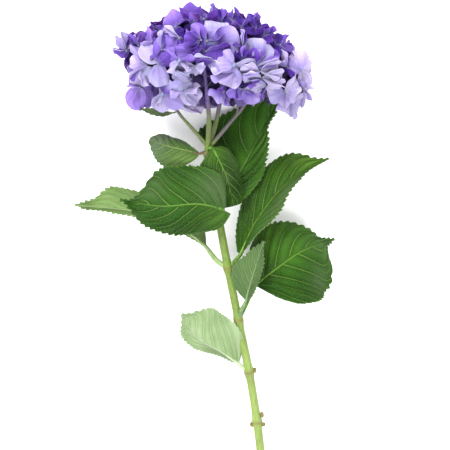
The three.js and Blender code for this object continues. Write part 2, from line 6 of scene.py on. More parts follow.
import bpy
import numpy as np
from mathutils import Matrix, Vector


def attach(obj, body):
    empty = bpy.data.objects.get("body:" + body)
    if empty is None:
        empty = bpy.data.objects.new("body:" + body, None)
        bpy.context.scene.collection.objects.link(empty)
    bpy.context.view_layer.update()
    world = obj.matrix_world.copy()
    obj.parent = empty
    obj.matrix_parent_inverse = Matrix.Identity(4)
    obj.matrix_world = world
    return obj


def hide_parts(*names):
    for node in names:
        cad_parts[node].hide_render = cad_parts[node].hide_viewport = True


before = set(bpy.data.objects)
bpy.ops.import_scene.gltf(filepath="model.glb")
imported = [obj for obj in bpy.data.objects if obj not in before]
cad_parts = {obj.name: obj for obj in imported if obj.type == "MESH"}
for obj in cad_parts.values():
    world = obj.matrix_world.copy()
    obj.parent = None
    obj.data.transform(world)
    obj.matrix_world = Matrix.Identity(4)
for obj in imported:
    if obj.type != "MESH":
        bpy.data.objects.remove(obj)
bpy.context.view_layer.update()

MM = 0.001
# How far the flower is moved on the table, in millimetres
PLACE = np.array([0.1, 6.2, 0.0])
# The topmost petals lie no higher than this, in millimetres
HIGHEST = 147.0

# The camera looks straight down at the table
CAMERA_AT = np.array([18.7, 17.0, 2000.0])
PICTURE_SIDE = 450
FOCUS_HEIGHT = 45.0
MM_PER_PIXEL = 0.9
SENSOR = 36.0
NEAREST, FARTHEST = 0.05, 20

# Each light: its name, place and size in metres, watts and colour
SOFTBOXES = [
    ("key", (-0.7, 1.2, 1.7), 1.1, 80, (1.0, 0.99, 0.97)),
    ("front", (0.2, -1.1, 2.0), 1.5, 52, (0.98, 0.99, 1.0)),
]
LIGHT_AIM = Vector((0.01, 0.05, 0.05))
STUDIO_WHITE = (1.0, 1.0, 1.0)
STUDIO_STRENGTH = 1.5
LIGHT_LEVEL = 2.85
TABLE_HALF = 2.5


# Camera, table and light


def add_camera():
    data = bpy.data.cameras.new("camera")
    data.sensor_width = SENSOR
    span = PICTURE_SIDE * MM_PER_PIXEL
    data.lens = SENSOR * (CAMERA_AT[2] - FOCUS_HEIGHT) / span
    data.clip_start = NEAREST
    data.clip_end = FARTHEST
    camera = bpy.data.objects.new("camera", data)
    camera.location = Vector(CAMERA_AT * MM)
    bpy.context.scene.collection.objects.link(camera)
    bpy.context.scene.camera = camera


def add_softbox(name, at, size, watts, colour):
    data = bpy.data.lights.new(name, "AREA")
    data.shape = "DISK"
    data.size = size
    data.energy = watts
    data.color = colour
    light = bpy.data.objects.new(name, data)
    light.location = Vector(at)
    light.rotation_euler = (LIGHT_AIM - light.location).to_track_quat("-Z", "Y").to_euler()
    bpy.context.scene.collection.objects.link(light)


def add_light():
    world = bpy.data.worlds.new("studio")
    world.use_nodes = True
    background = world.node_tree.nodes["Background"]
    background.inputs["Color"].default_value = rgba(STUDIO_WHITE)
    background.inputs["Strength"].default_value = STUDIO_STRENGTH
    bpy.context.scene.world = world
    for softbox in SOFTBOXES:
        add_softbox(*softbox)
    view = bpy.context.scene.view_settings
    view.view_transform = "Standard"
    view.look = "None"


def add_table():
    half = TABLE_HALF
    corners = [(-half, -half, 0), (half, -half, 0), (half, half, 0), (-half, half, 0)]
    mesh = bpy.data.meshes.new("table")
    mesh.from_pydata(corners, [], [(0, 1, 2, 3)])
    table = bpy.data.objects.new("table", mesh)
    bpy.context.scene.collection.objects.link(table)
    shader = Shader("table_white", roughness=0.7, specular=0.2)
    shader.link(shader.noise((0.97, 0.97, 0.97), (0.955, 0.96, 0.965), 6), "Base Color")
    mesh.materials.append(shader.material)


# Materials


def srgb(red, green, blue):
    """The surface colour that looks like this tone in the studio's strong light."""

    def linear(value):
        share = value / 255
        level = share / 12.92 if share <= 0.04045 else ((share + 0.055) / 1.055) ** 2.4
        return level / LIGHT_LEVEL

    return (linear(red), linear(green), linear(blue))


def rgba(colour):
    return (*colour, 1.0)


def mixed(first, second, share):
    return tuple(a + (b - a) * share for a, b in zip(first, second))


class Shader:
    """One material and short calls for the nodes it is made of."""

    def __init__(self, name, roughness=0.5, specular=0.5, **inputs):
        self.material = bpy.data.materials.new(name)
        self.material.use_nodes = True
        self.tree = self.material.node_tree
        self.surface = self.tree.nodes["Principled BSDF"]
        self.surface.inputs["Roughness"].default_value = roughness
        self.surface.inputs["Specular IOR Level"].default_value = specular
        for key, value in inputs.items():
            self.surface.inputs[key.replace("_", " ")].default_value = value

    def add(self, kind, inputs=(), **settings):
        node = self.tree.nodes.new("ShaderNode" + kind)
        for key, value in settings.items():
            setattr(node, key, value)
        for key, value in dict(inputs).items():
            self.feed(node.inputs[key], value)
        return node

    def feed(self, socket, value):
        if isinstance(value, bpy.types.NodeSocket):
            self.tree.links.new(value, socket)
        elif isinstance(value, tuple) and socket.type == "RGBA":
            socket.default_value = rgba(value)
        else:
            socket.default_value = value

    def link(self, value, name):
        self.tree.links.new(value, self.surface.inputs[name])

    def attribute(self, name):
        return self.add("Attribute", attribute_name=name)

    def parts(self, name):
        vector = self.attribute(name).outputs["Vector"]
        return self.add("SeparateXYZ", {"Vector": vector}).outputs

    def joined(self, x, y):
        return self.add("CombineXYZ", {"X": x, "Y": y, "Z": 0.0}).outputs[0]

    def maths(self, operation, first, second=0.0, third=0.0):
        values = {0: first, 1: second, 2: third}
        return self.add("Math", values, operation=operation).outputs[0]

    def times(self, first, second):
        return self.maths("MULTIPLY", first, second)

    def plus(self, total, value, factor):
        """The total plus factor times the value."""
        return self.maths("MULTIPLY_ADD", value, factor, total)

    def fade(self, value, low, high, first=0.0, last=1.0):
        inputs = {"Value": value, "From Min": low, "From Max": high, "To Min": first, "To Max": last}
        node = self.add("MapRange", inputs, interpolation_type="SMOOTHSTEP")
        return node.outputs["Result"]

    def line(self, off, width, blur):
        """1 within a line's width, fading to 0 at blur times that width."""
        return self.fade(off, width, self.times(width, blur), 1, 0)

    def mix(self, share, first, second, how="MIX"):
        node = self.tree.nodes.new("ShaderNodeMix")
        node.data_type = "RGBA"
        node.blend_type = how
        self.feed(node.inputs["Factor"], share)
        self.feed(node.inputs[6], first)
        self.feed(node.inputs[7], second)
        return node.outputs[2]

    def over(self, ground, share, amount, colour):
        """The ground with a colour laid on it, amount strong where the share is 1."""
        return self.mix(self.times(share, amount), ground, colour)

    def object_point(self, scale=(1, 1, 1)):
        point = self.add("TexCoord").outputs["Object"]
        return self.add("Mapping", {"Vector": point, "Scale": scale}).outputs[0]

    def noise_value(self, scale, detail=3.0, vector=None, rough=0.5):
        place = self.object_point() if vector is None else vector
        inputs = {"Vector": place, "Scale": scale, "Detail": detail, "Roughness": rough}
        return self.add("TexNoise", inputs).outputs["Fac"]

    def noise(self, first, second, scale, detail=3.0, vector=None):
        share = self.fade(self.noise_value(scale, detail, vector), 0.35, 0.65)
        return self.mix(share, first, second)

    def net(self, vector, scale, randomness, low, high):
        """Thin lines between the cells of a random mesh: 1 on a line, 0 inside a cell."""
        inputs = {"Vector": vector, "Scale": scale, "Randomness": randomness}
        settings = {"feature": "DISTANCE_TO_EDGE", "voronoi_dimensions": "2D"}
        cells = self.add("TexVoronoi", inputs, **settings)
        return self.fade(cells.outputs["Distance"], low, high, 1, 0)

    def bump(self, height, strength, distance):
        inputs = {"Height": height, "Strength": strength, "Distance": distance}
        self.link(self.add("Bump", inputs).outputs["Normal"], "Normal")


# The grey-green painted where a leaf's waxy skin reflects the light: a painted sheen
PAINTED_SHEEN_TONE = (128, 150, 108)
BLACK = (0.0, 0.0, 0.0)


def vein_lines(shader, across, length_share, vein):
    """A blade's midrib, side veins and forks, and how its skin bulges between the side veins."""
    order, pitch, edge = vein
    away = shader.maths("ABSOLUTE", across)
    midrib = shader.line(away, shader.fade(length_share, 0.0, 1.0, 0.6, 0.16), 1.7)

    off = shader.maths("PINGPONG", order, 0.5)
    side = shader.line(shader.times(off, pitch), shader.fade(edge, 0.0, 1.0, 0.27, 0.14), 2.3)

    fork_off = shader.maths("PINGPONG", shader.times(order, 2.0), 0.5)
    fork_mm = shader.times(fork_off, shader.times(pitch, 0.5))
    fork_line = shader.fade(fork_mm, 0.08, 0.3, 1, 0)
    fork = shader.times(fork_line, shader.fade(edge, 0.5, 0.8, 0, 0.55))

    lines = shader.maths("MAXIMUM", shader.maths("MAXIMUM", midrib, side), fork)
    return lines, shader.fade(off, 0.0, 0.42)


def fine_nets(shader, flat):
    """The net of small veins between the side veins, and the finer one inside its cells."""
    stray = shader.add("TexNoise", {"Vector": flat, "Scale": 0.25, "Detail": 2.0}).outputs["Color"]
    bent = shader.add("VectorMath", {0: stray, 1: (3.0, 3.0, 0.0)}, operation="MULTIPLY").outputs[0]
    wavy = shader.add("VectorMath", {0: flat, 1: bent}, operation="ADD").outputs[0]
    return shader.net(wavy, 0.36, 0.9, 0.02, 0.12), shader.net(wavy, 1.1, 1.0, 0.0, 0.16)


def leaf_material(name, colours, raised, roughness, painted_sheen_tone=PAINTED_SHEEN_TONE):
    """A blade's green, mottled, with its veins raised or sunk, painted light on the bulges between the veins
    and in glow patches, painted shade in the hollows along the veins and in shade patches, and a painted
    sheen.
    """
    dark, light, vein_colour = colours
    shader = Shader(name, roughness, 0.1)
    across, along, length_share = shader.parts("blade")
    vein = shader.parts("vein")
    glow, shade, sheen = shader.parts("patch")
    flat = shader.joined(across, along)
    lines, pillow = vein_lines(shader, across, length_share, vein)
    net, fine_net = fine_nets(shader, flat)

    ground = shader.noise(dark, light, 0.035, 3.0, flat)
    spots = shader.noise_value(0.3, 4.0, flat, 0.65)
    ground = shader.mix(shader.fade(spots, 0.3, 0.75, 0.0, 0.35), ground, light)
    # Painted light on the bulges between the side veins and where glow patches lie, painted shade in the
    # hollows along the veins and where shade patches lie, and a painted sheen where sheen patches lie
    ground = shader.over(ground, pillow, 0.3, light)
    ground = shader.mix(glow, ground, mixed(light, vein_colour, 0.35))
    ground = shader.over(ground, shader.maths("SUBTRACT", 1.0, pillow), 0.65, dark)
    ground = shader.mix(shade, ground, mixed(dark, BLACK, 0.65))
    ground = shader.mix(sheen, ground, srgb(*painted_sheen_tone))
    net_colour = mixed(light, vein_colour, 0.5)
    ground = shader.over(ground, net, 0.36, net_colour)
    ground = shader.over(ground, fine_net, 0.1, net_colour)
    ground = shader.mix(shader.fade(vein[2], 0.955, 1.0, 0, 0.35), ground, vein_colour)
    shader.link(shader.over(ground, lines, 0.78, vein_colour), "Base Color")

    sign = 1.0 if raised else -1.0
    heights = shader.times(lines, 0.55 * sign)
    heights = shader.plus(heights, net, 0.28 * sign)
    heights = shader.plus(heights, fine_net, 0.1 * sign)
    shader.bump(shader.plus(heights, spots, 0.12), 0.9, 0.0013)
    dull = shader.plus(roughness - 0.04, lines, 0.12)
    shader.link(shader.plus(dull, spots, 0.12), "Roughness")
    return shader.material


def streaked(shader, scale, detail=3.0, rough=0.5):
    """Noise drawn out by a scale along each axis."""
    return shader.noise_value(1.0, detail, shader.object_point(scale), rough)


def streaked_material(name, specular, scale, tones, depth):
    """Streaks of two tones, as on the leaf stalks and the pedicels."""
    shader = Shader(name, 0.5, specular)
    streaks = streaked(shader, scale)
    shader.link(shader.mix(shader.fade(streaks, 0.3, 0.7), *tones), "Base Color")
    shader.bump(streaks, 0.3, depth)
    return shader.material


def stem_greens(shader, streaks, share):
    """Yellow-green at the foot of the stem and duller towards its top."""
    streak = shader.fade(streaks, 0.3, 0.7)
    low = shader.mix(streak, srgb(156, 187, 88), srgb(186, 211, 118))
    mid = shader.mix(streak, srgb(120, 152, 58), srgb(152, 184, 84))
    ground = shader.mix(shader.fade(share, 0.35, 0.72), mid, low)
    blotches = shader.noise_value(45.0, 3.0)
    return shader.mix(shader.fade(blotches, 0.45, 0.75, 0.0, 0.35), ground, srgb(128, 128, 70))


def stem_purples(shader, streaks, flush):
    """A dull purple where the flush is 1, and violet where it is 2."""
    streak = shader.fade(streaks, 0.35, 0.65)
    purple = shader.mix(streak, srgb(140, 130, 124), srgb(122, 94, 138))
    violet = shader.mix(streak, srgb(150, 124, 196), srgb(104, 74, 164))
    return shader.mix(shader.fade(flush, 1.0, 2.0), purple, violet)


def stem_material():
    """The stem: green with streaks, pores, brown leaf scars and a purple flush."""
    shader = Shader("stem_green", 0.5, 0.2)
    share, flush, scar = shader.parts("growth")
    streaks = streaked(shader, (1100, 60, 1100), 4.0, 0.6)
    ground = stem_greens(shader, streaks, share)
    purple = stem_purples(shader, streaks, flush)
    ground = shader.mix(shader.maths("MINIMUM", flush, 1.0), ground, purple)
    speckled = {"Vector": shader.object_point((1.0, 0.45, 1.0)), "Scale": 420.0}
    pores = shader.add("TexVoronoi", speckled).outputs["Distance"]
    pore = shader.fade(pores, 0.12, 0.2, 0.5, 0.0)
    ground = shader.mix(pore, ground, srgb(152, 128, 88))
    ground = shader.mix(scar, ground, shader.noise(srgb(178, 148, 88), srgb(132, 84, 62), 260))
    shader.link(ground, "Base Color")
    shader.bump(shader.plus(streaks, pore, 0.6), 0.4, 0.0005)
    shader.link(shader.plus(0.38, streaks, 0.2), "Roughness")
    return shader.material


def pith_material():
    shader = Shader("pith", 0.8, 0.2)
    grain = shader.noise_value(900.0, 2.0)
    shader.link(shader.mix(grain, srgb(214, 220, 176), srgb(240, 240, 214)), "Base Color")
    shader.bump(grain, 0.6, 0.0004)
    return shader.material


def fanned_veins(shader, foot, fan):
    """The bold and the fine veins that fan out from a sepal's foot."""
    waver = shader.noise_value(5.0, 2.0, shader.joined(fan, foot))
    bold_line = shader.plus(shader.times(fan, 4.5), waver, 0.9)
    bold = shader.fade(shader.maths("PINGPONG", bold_line, 0.5), 0.02, 0.13, 1, 0)
    fine_line = shader.plus(shader.times(fan, 13.0), waver, 1.6)
    fine = shader.fade(shader.maths("PINGPONG", fine_line, 0.5), 0.0, 0.3, 1, 0)
    midline = shader.fade(shader.maths("ABSOLUTE", fan), 0.015, 0.06, 1, 0)
    return shader.maths("MAXIMUM", bold, midline), fine


def petal_material():
    """A sepal: its own tint, paler at the foot, with a painted highlight along the rim, fanned veins and
    soft mottling.
    """
    scattering = {"Subsurface_Weight": 0.22, "Subsurface_Scale": 0.004}
    shader = Shader("petal_violet", 0.6, 0.03, **scattering)
    shader.surface.inputs["Subsurface Radius"].default_value = (0.9, 0.7, 1.0)
    tint = shader.attribute("tint").outputs["Color"]
    foot, fan, ring = shader.parts("sepal")
    mottle = shader.noise_value(160.0, 4.0, None, 0.6)
    veins, fine = fanned_veins(shader, foot, fan)
    deeper = shader.mix(1.0, tint, (0.62, 0.52, 0.78), "MULTIPLY")
    paler = shader.mix(1.0, tint, (1.26, 1.28, 1.14), "MULTIPLY")
    ground = shader.mix(shader.fade(mottle, 0.3, 0.7, 0.0, 0.6), tint, paler)
    ground = shader.over(ground, veins, 0.36, deeper)
    ground = shader.over(ground, fine, 0.15, deeper)
    ground = shader.mix(shader.fade(ring, 0.7, 0.9, 0.0, 0.16), ground, deeper)
    # Painted highlight: the paler rim stands for light caught by the thin edge
    ground = shader.mix(shader.fade(ring, 0.93, 1.0, 0.0, 0.55), ground, paler)
    ground = shader.mix(shader.fade(foot, 0.03, 0.25, 0.3, 0.0), ground, srgb(186, 196, 236))
    shader.link(ground, "Base Color")
    heights = shader.plus(shader.times(veins, -0.5), fine, -0.15)
    shader.bump(shader.plus(heights, mottle, 0.5), 0.5, 0.0005)
    return shader.material


def bead_material():
    shader = Shader("bead_blue", 0.4, 0.5, Subsurface_Weight=0.2, Subsurface_Scale=0.002)
    shade = shader.noise(srgb(128, 132, 200), srgb(172, 186, 216), 500.0)
    shader.link(shade, "Base Color")
    shader.bump(shader.noise_value(1500.0), 0.3, 0.0003)
    return shader.material


def pedicel_material():
    tones = (srgb(116, 92, 142), srgb(142, 134, 132))
    return streaked_material("pedicel_purple", 0.4, (500, 500, 500), tones, 0.0003)


# Shapes

# Faces that meet at more than this angle keep a sharp edge
SHARPEST = math.radians(50)
# How many steps a smooth line takes between two of its points
LINE_STEPS = 60


class Piece:
    """A mesh that grows shell by shell. Points are in millimetres."""

    def __init__(self, name, materials, slot):
        self.name = name
        self.materials = materials
        self.slot = slot
        self.points = []
        self.faces = []
        self.finishes = []
        self.values = {}
        self.count = 0

    def add(self, points, faces, finish=0, **values):
        """One shell: its points, faces, the number of each face's material and values by point."""
        self.points.append(np.asarray(points, float).reshape(-1, 3))
        size = len(self.points[-1])
        self.faces += [tuple(int(corner) + self.count for corner in face) for face in faces]
        self.finishes += [finish] * len(faces) if isinstance(finish, int) else list(finish)
        for key, value in values.items():
            filled = np.broadcast_to(np.asarray(value, float), (size, 3))
            self.values.setdefault(key, []).append((self.count, filled))
        self.count += size

    def make(self, node):
        mesh = bpy.data.meshes.new(self.name)
        points = (np.concatenate(self.points) + PLACE) * MM
        points[:, 2] = np.clip(points[:, 2], 0.0, HIGHEST * MM)
        mesh.from_pydata(points.tolist(), [], self.faces)
        for material in self.materials:
            mesh.materials.append(material)
        mesh.polygons.foreach_set("material_index", np.array(self.finishes, np.int32))
        for key, parts in self.values.items():
            filled = np.zeros((self.count, 3))
            for start, part in parts:
                filled[start : start + len(part)] = part
            self.write(mesh, key, filled)
        mesh.shade_smooth()
        mesh.set_sharp_from_angle(angle=SHARPEST)
        mesh.update()
        piece = bpy.data.objects.new(self.name, mesh)
        bpy.context.scene.collection.objects.link(piece)
        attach(piece, "root")
        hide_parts(node)

    @staticmethod
    def write(mesh, key, filled):
        if key == "tint":
            layer = mesh.attributes.new(key, "FLOAT_COLOR", "POINT")
            colours = np.concatenate([filled, np.ones((len(filled), 1))], axis=1)
            layer.data.foreach_set("color", colours.astype(np.float32).ravel())
        else:
            layer = mesh.attributes.new(key, "FLOAT_VECTOR", "POINT")
            layer.data.foreach_set("vector", filled.astype(np.float32).ravel())


def unit(vectors):
    vectors = np.asarray(vectors, float)
    return vectors / np.linalg.norm(vectors, axis=-1, keepdims=True)


def smoothstep(value, low, high):
    share = np.clip((np.asarray(value, float) - low) / (high - low), 0, 1)
    return share * share * (3 - 2 * share)


def hermite(points, t, span):
    before, first, last, after = (points[span + k] for k in range(4))
    start = 0.5 * (last - before)
    end = 0.5 * (after - first)
    t = t[:, None]
    cubic = 2 * first - 2 * last + start + end
    square = -3 * first + 3 * last - 2 * start - end
    return cubic * t**3 + square * t**2 + start * t + first


class Line:
    """A smooth line through points, measured along its length from 0 to 1."""

    def __init__(self, points, fineness=LINE_STEPS):
        points = np.asarray(points, float)
        first = 2 * points[0] - points[1]
        last = 2 * points[-1] - points[-2]
        padded = np.concatenate([[first], points, [last]])
        steps = np.linspace(0, 1, fineness + 1)
        spans = [hermite(padded, steps[:-1], k) for k in range(len(points) - 1)]
        self.path = np.concatenate([*spans, [points[-1]]])
        lengths = np.linalg.norm(np.diff(self.path, axis=0), axis=1)
        self.at = np.concatenate([[0], np.cumsum(lengths)])
        self.length = self.at[-1]
        self.at /= self.length

    def point(self, share):
        share = np.asarray(share, float)
        return np.stack([np.interp(share, self.at, self.path[:, k]) for k in range(3)], axis=-1)

    def direction(self, share):
        share = np.asarray(share, float)
        step = 0.01
        return unit(self.point(np.minimum(share + step, 1)) - self.point(np.maximum(share - step, 0)))


def wall_faces(rings, around):
    """The faces that close rings of points into a tube with flat ends. The ends come last."""
    faces = []
    for low in range(0, (rings - 1) * around, around):
        for k in range(around):
            after = (k + 1) % around
            faces.append((low + k, low + after, low + around + after, low + around + k))
    last = (rings - 1) * around
    return [*faces, tuple(range(around - 1, -1, -1)), tuple(range(last, last + around))]


def tube(line, shares, radii, sides, ridge=0.0):
    """Rings of points round a line, and the faces that close them. ridge waves each ring."""
    side = np.array([0.31, 0.2, 1.0])
    angles = np.arange(sides) * 2 * math.pi / sides
    rings = []
    for centre, tangent, radius in zip(line.point(shares), line.direction(shares), radii):
        side = unit(side - tangent * (side @ tangent))
        reach = radius * (1 + ridge * np.cos(5 * angles))
        first = np.outer(reach * np.cos(angles), side)
        second = np.outer(reach * np.sin(angles), np.cross(tangent, side))
        rings.append(centre + first + second)
    return np.concatenate(rings), wall_faces(len(rings), sides)


def lobed_ball(rows, around, lobes, depth, twist=0.0):
    """A ball of radius 1 with lobes round its second axis: its points and faces."""
    row = np.repeat(np.arange(1, rows), around)
    angle = math.pi * row / rows
    turn = np.tile(np.arange(around) * 2 * math.pi / around, rows - 1)
    ring = np.sin(angle) * (1 + depth * np.cos(lobes * turn + twist * row))
    points = np.stack([ring * np.cos(turn), np.cos(angle), ring * np.sin(turn)], axis=1)
    return points, [face[::-1] for face in wall_faces(rows - 1, around)]


# Stem

NODES = np.array(
    [
        [2.5, 77, 57.5],
        [11.4, 25.2, 47.8],
        [21.3, -28, 38],
        [30.8, -75.4, 29.3],
        [40.5, -123.2, 20.6],
        [47.9, -169.5, 12.3],
    ]
)
CUT_END = np.array([53.5, -218, 3.75])
STEM_RADII = (3.4, 3.95)
STEM_RINGS, STEM_SIDES = 420, 28
NODE_SWELLING = 1.1
NODE_LENGTH = 4.5
DEEPEST_SCAR = 0.7
# Each ray's points, its radii at the foot and the tip, and how purple it is at least
RAYS = [
    ([NODES[0], [1.6, 83, 60], [-10.8, 97, 66], [-23, 111, 74], [-33, 130, 84]], (1.7, 1.2), 0.25),
    ([NODES[0], [3.4, 85, 62], [4.4, 104, 78], [3, 122, 94], [0, 152, 110]], (2.6, 1.5), 0.3),
    ([NODES[0], [6, 87, 58], [11.4, 106, 58], [15, 127, 62], [18, 142, 66]], (2.2, 1.7), 0.25),
    ([NODES[0], [8, 84, 60], [22, 100.5, 68], [35, 116, 76], [46, 135, 80]], (1.9, 1.3), 0.85),
    ([[-21, 108.5, 72.5], [-27, 115, 74], [-36, 124, 72], [-42, 136, 70]], (1.1, 0.9), 0.5),
    ([[29, 108, 72], [30, 116, 78], [29, 126, 86], [27, 138, 88]], (1.0, 0.9), 0.8),
]
RAY_RINGS, RAY_SIDES = 48, 16
RAY_GROWTH = 0.15
# Each bud's place and its radii across, along and beside the stem
BUDS = [
    ([43.4, -171.5, 12.4], [2.2, 2.6, 2.2]),
    ([53.4, -171.5, 12.6], [2.6, 2.0, 2.2]),
    ([52.4, -162.6, 14.4], [1.9, 2.8, 1.9]),
    ([45.6, -121.5, 21.4], [1.9, 2.6, 1.9]),
]
BUD_ROWS, BUD_SIDES = 14, 16
# How far along the stem its tone is taken, how purple and how scarred a bud is
BUD_GROWTH = [0.5, 0.2, 0.6]


def add_stem(piece):
    line = Line([*NODES, CUT_END])
    shares = np.linspace(0, 1, STEM_RINGS)
    swelling = np.zeros_like(shares)
    scar = np.zeros_like(shares)
    for k in range(len(NODES)):
        away = (shares - line.at[k * LINE_STEPS]) * line.length / NODE_LENGTH
        swelling += NODE_SWELLING * np.exp(-(away**2))
        scar += 0.5 * np.exp(-((away * 2.6) ** 2))
    radii = STEM_RADII[0] + (STEM_RADII[1] - STEM_RADII[0]) * shares + swelling
    radii -= 0.5 * smoothstep(shares, 0.997, 1.0)
    points, faces = tube(line, shares, radii, STEM_SIDES, 0.012)
    flush = 0.35 * smoothstep(shares, 0.2, 0.0)
    growth = np.stack([shares, flush, np.minimum(scar, DEEPEST_SCAR)], axis=1)
    finish = [0] * (len(faces) - 1) + [1]
    piece.add(points, faces, finish, growth=np.repeat(growth, STEM_SIDES, axis=0))


def add_rays(piece):
    for points, (thick, thin), purple in RAYS:
        line = Line(points)
        shares = np.linspace(0, 1, RAY_RINGS)
        radii = thick + (thin - thick) * shares
        radii = radii * (1 + 0.05 * np.sin(shares * 19 + thick))
        shell, faces = tube(line, shares, radii, RAY_SIDES, 0.03)
        high = line.point(shares)[:, 1]
        flush = np.maximum(purple, 0.95 * smoothstep(high, 96, 118)) * smoothstep(high, 80, 92)
        flush += 1.05 * smoothstep(high, 108, 126)
        growth = np.stack([np.full_like(flush, RAY_GROWTH), flush, np.zeros_like(flush)], axis=1)
        piece.add(shell, faces, growth=np.repeat(growth, RAY_SIDES, axis=0))


def add_buds(piece):
    """Small buds in the leaf scars, each with a few overlapping scales."""
    for at, radii in BUDS:
        points, faces = lobed_ball(BUD_ROWS, BUD_SIDES, 3, 0.1, 0.5)
        piece.add(points * radii + at, faces, growth=BUD_GROWTH)


# Leaves

BLADE_THICKNESS = 0.5
SLIMMEST_HALF = 0.9
LOBE_END = 0.3
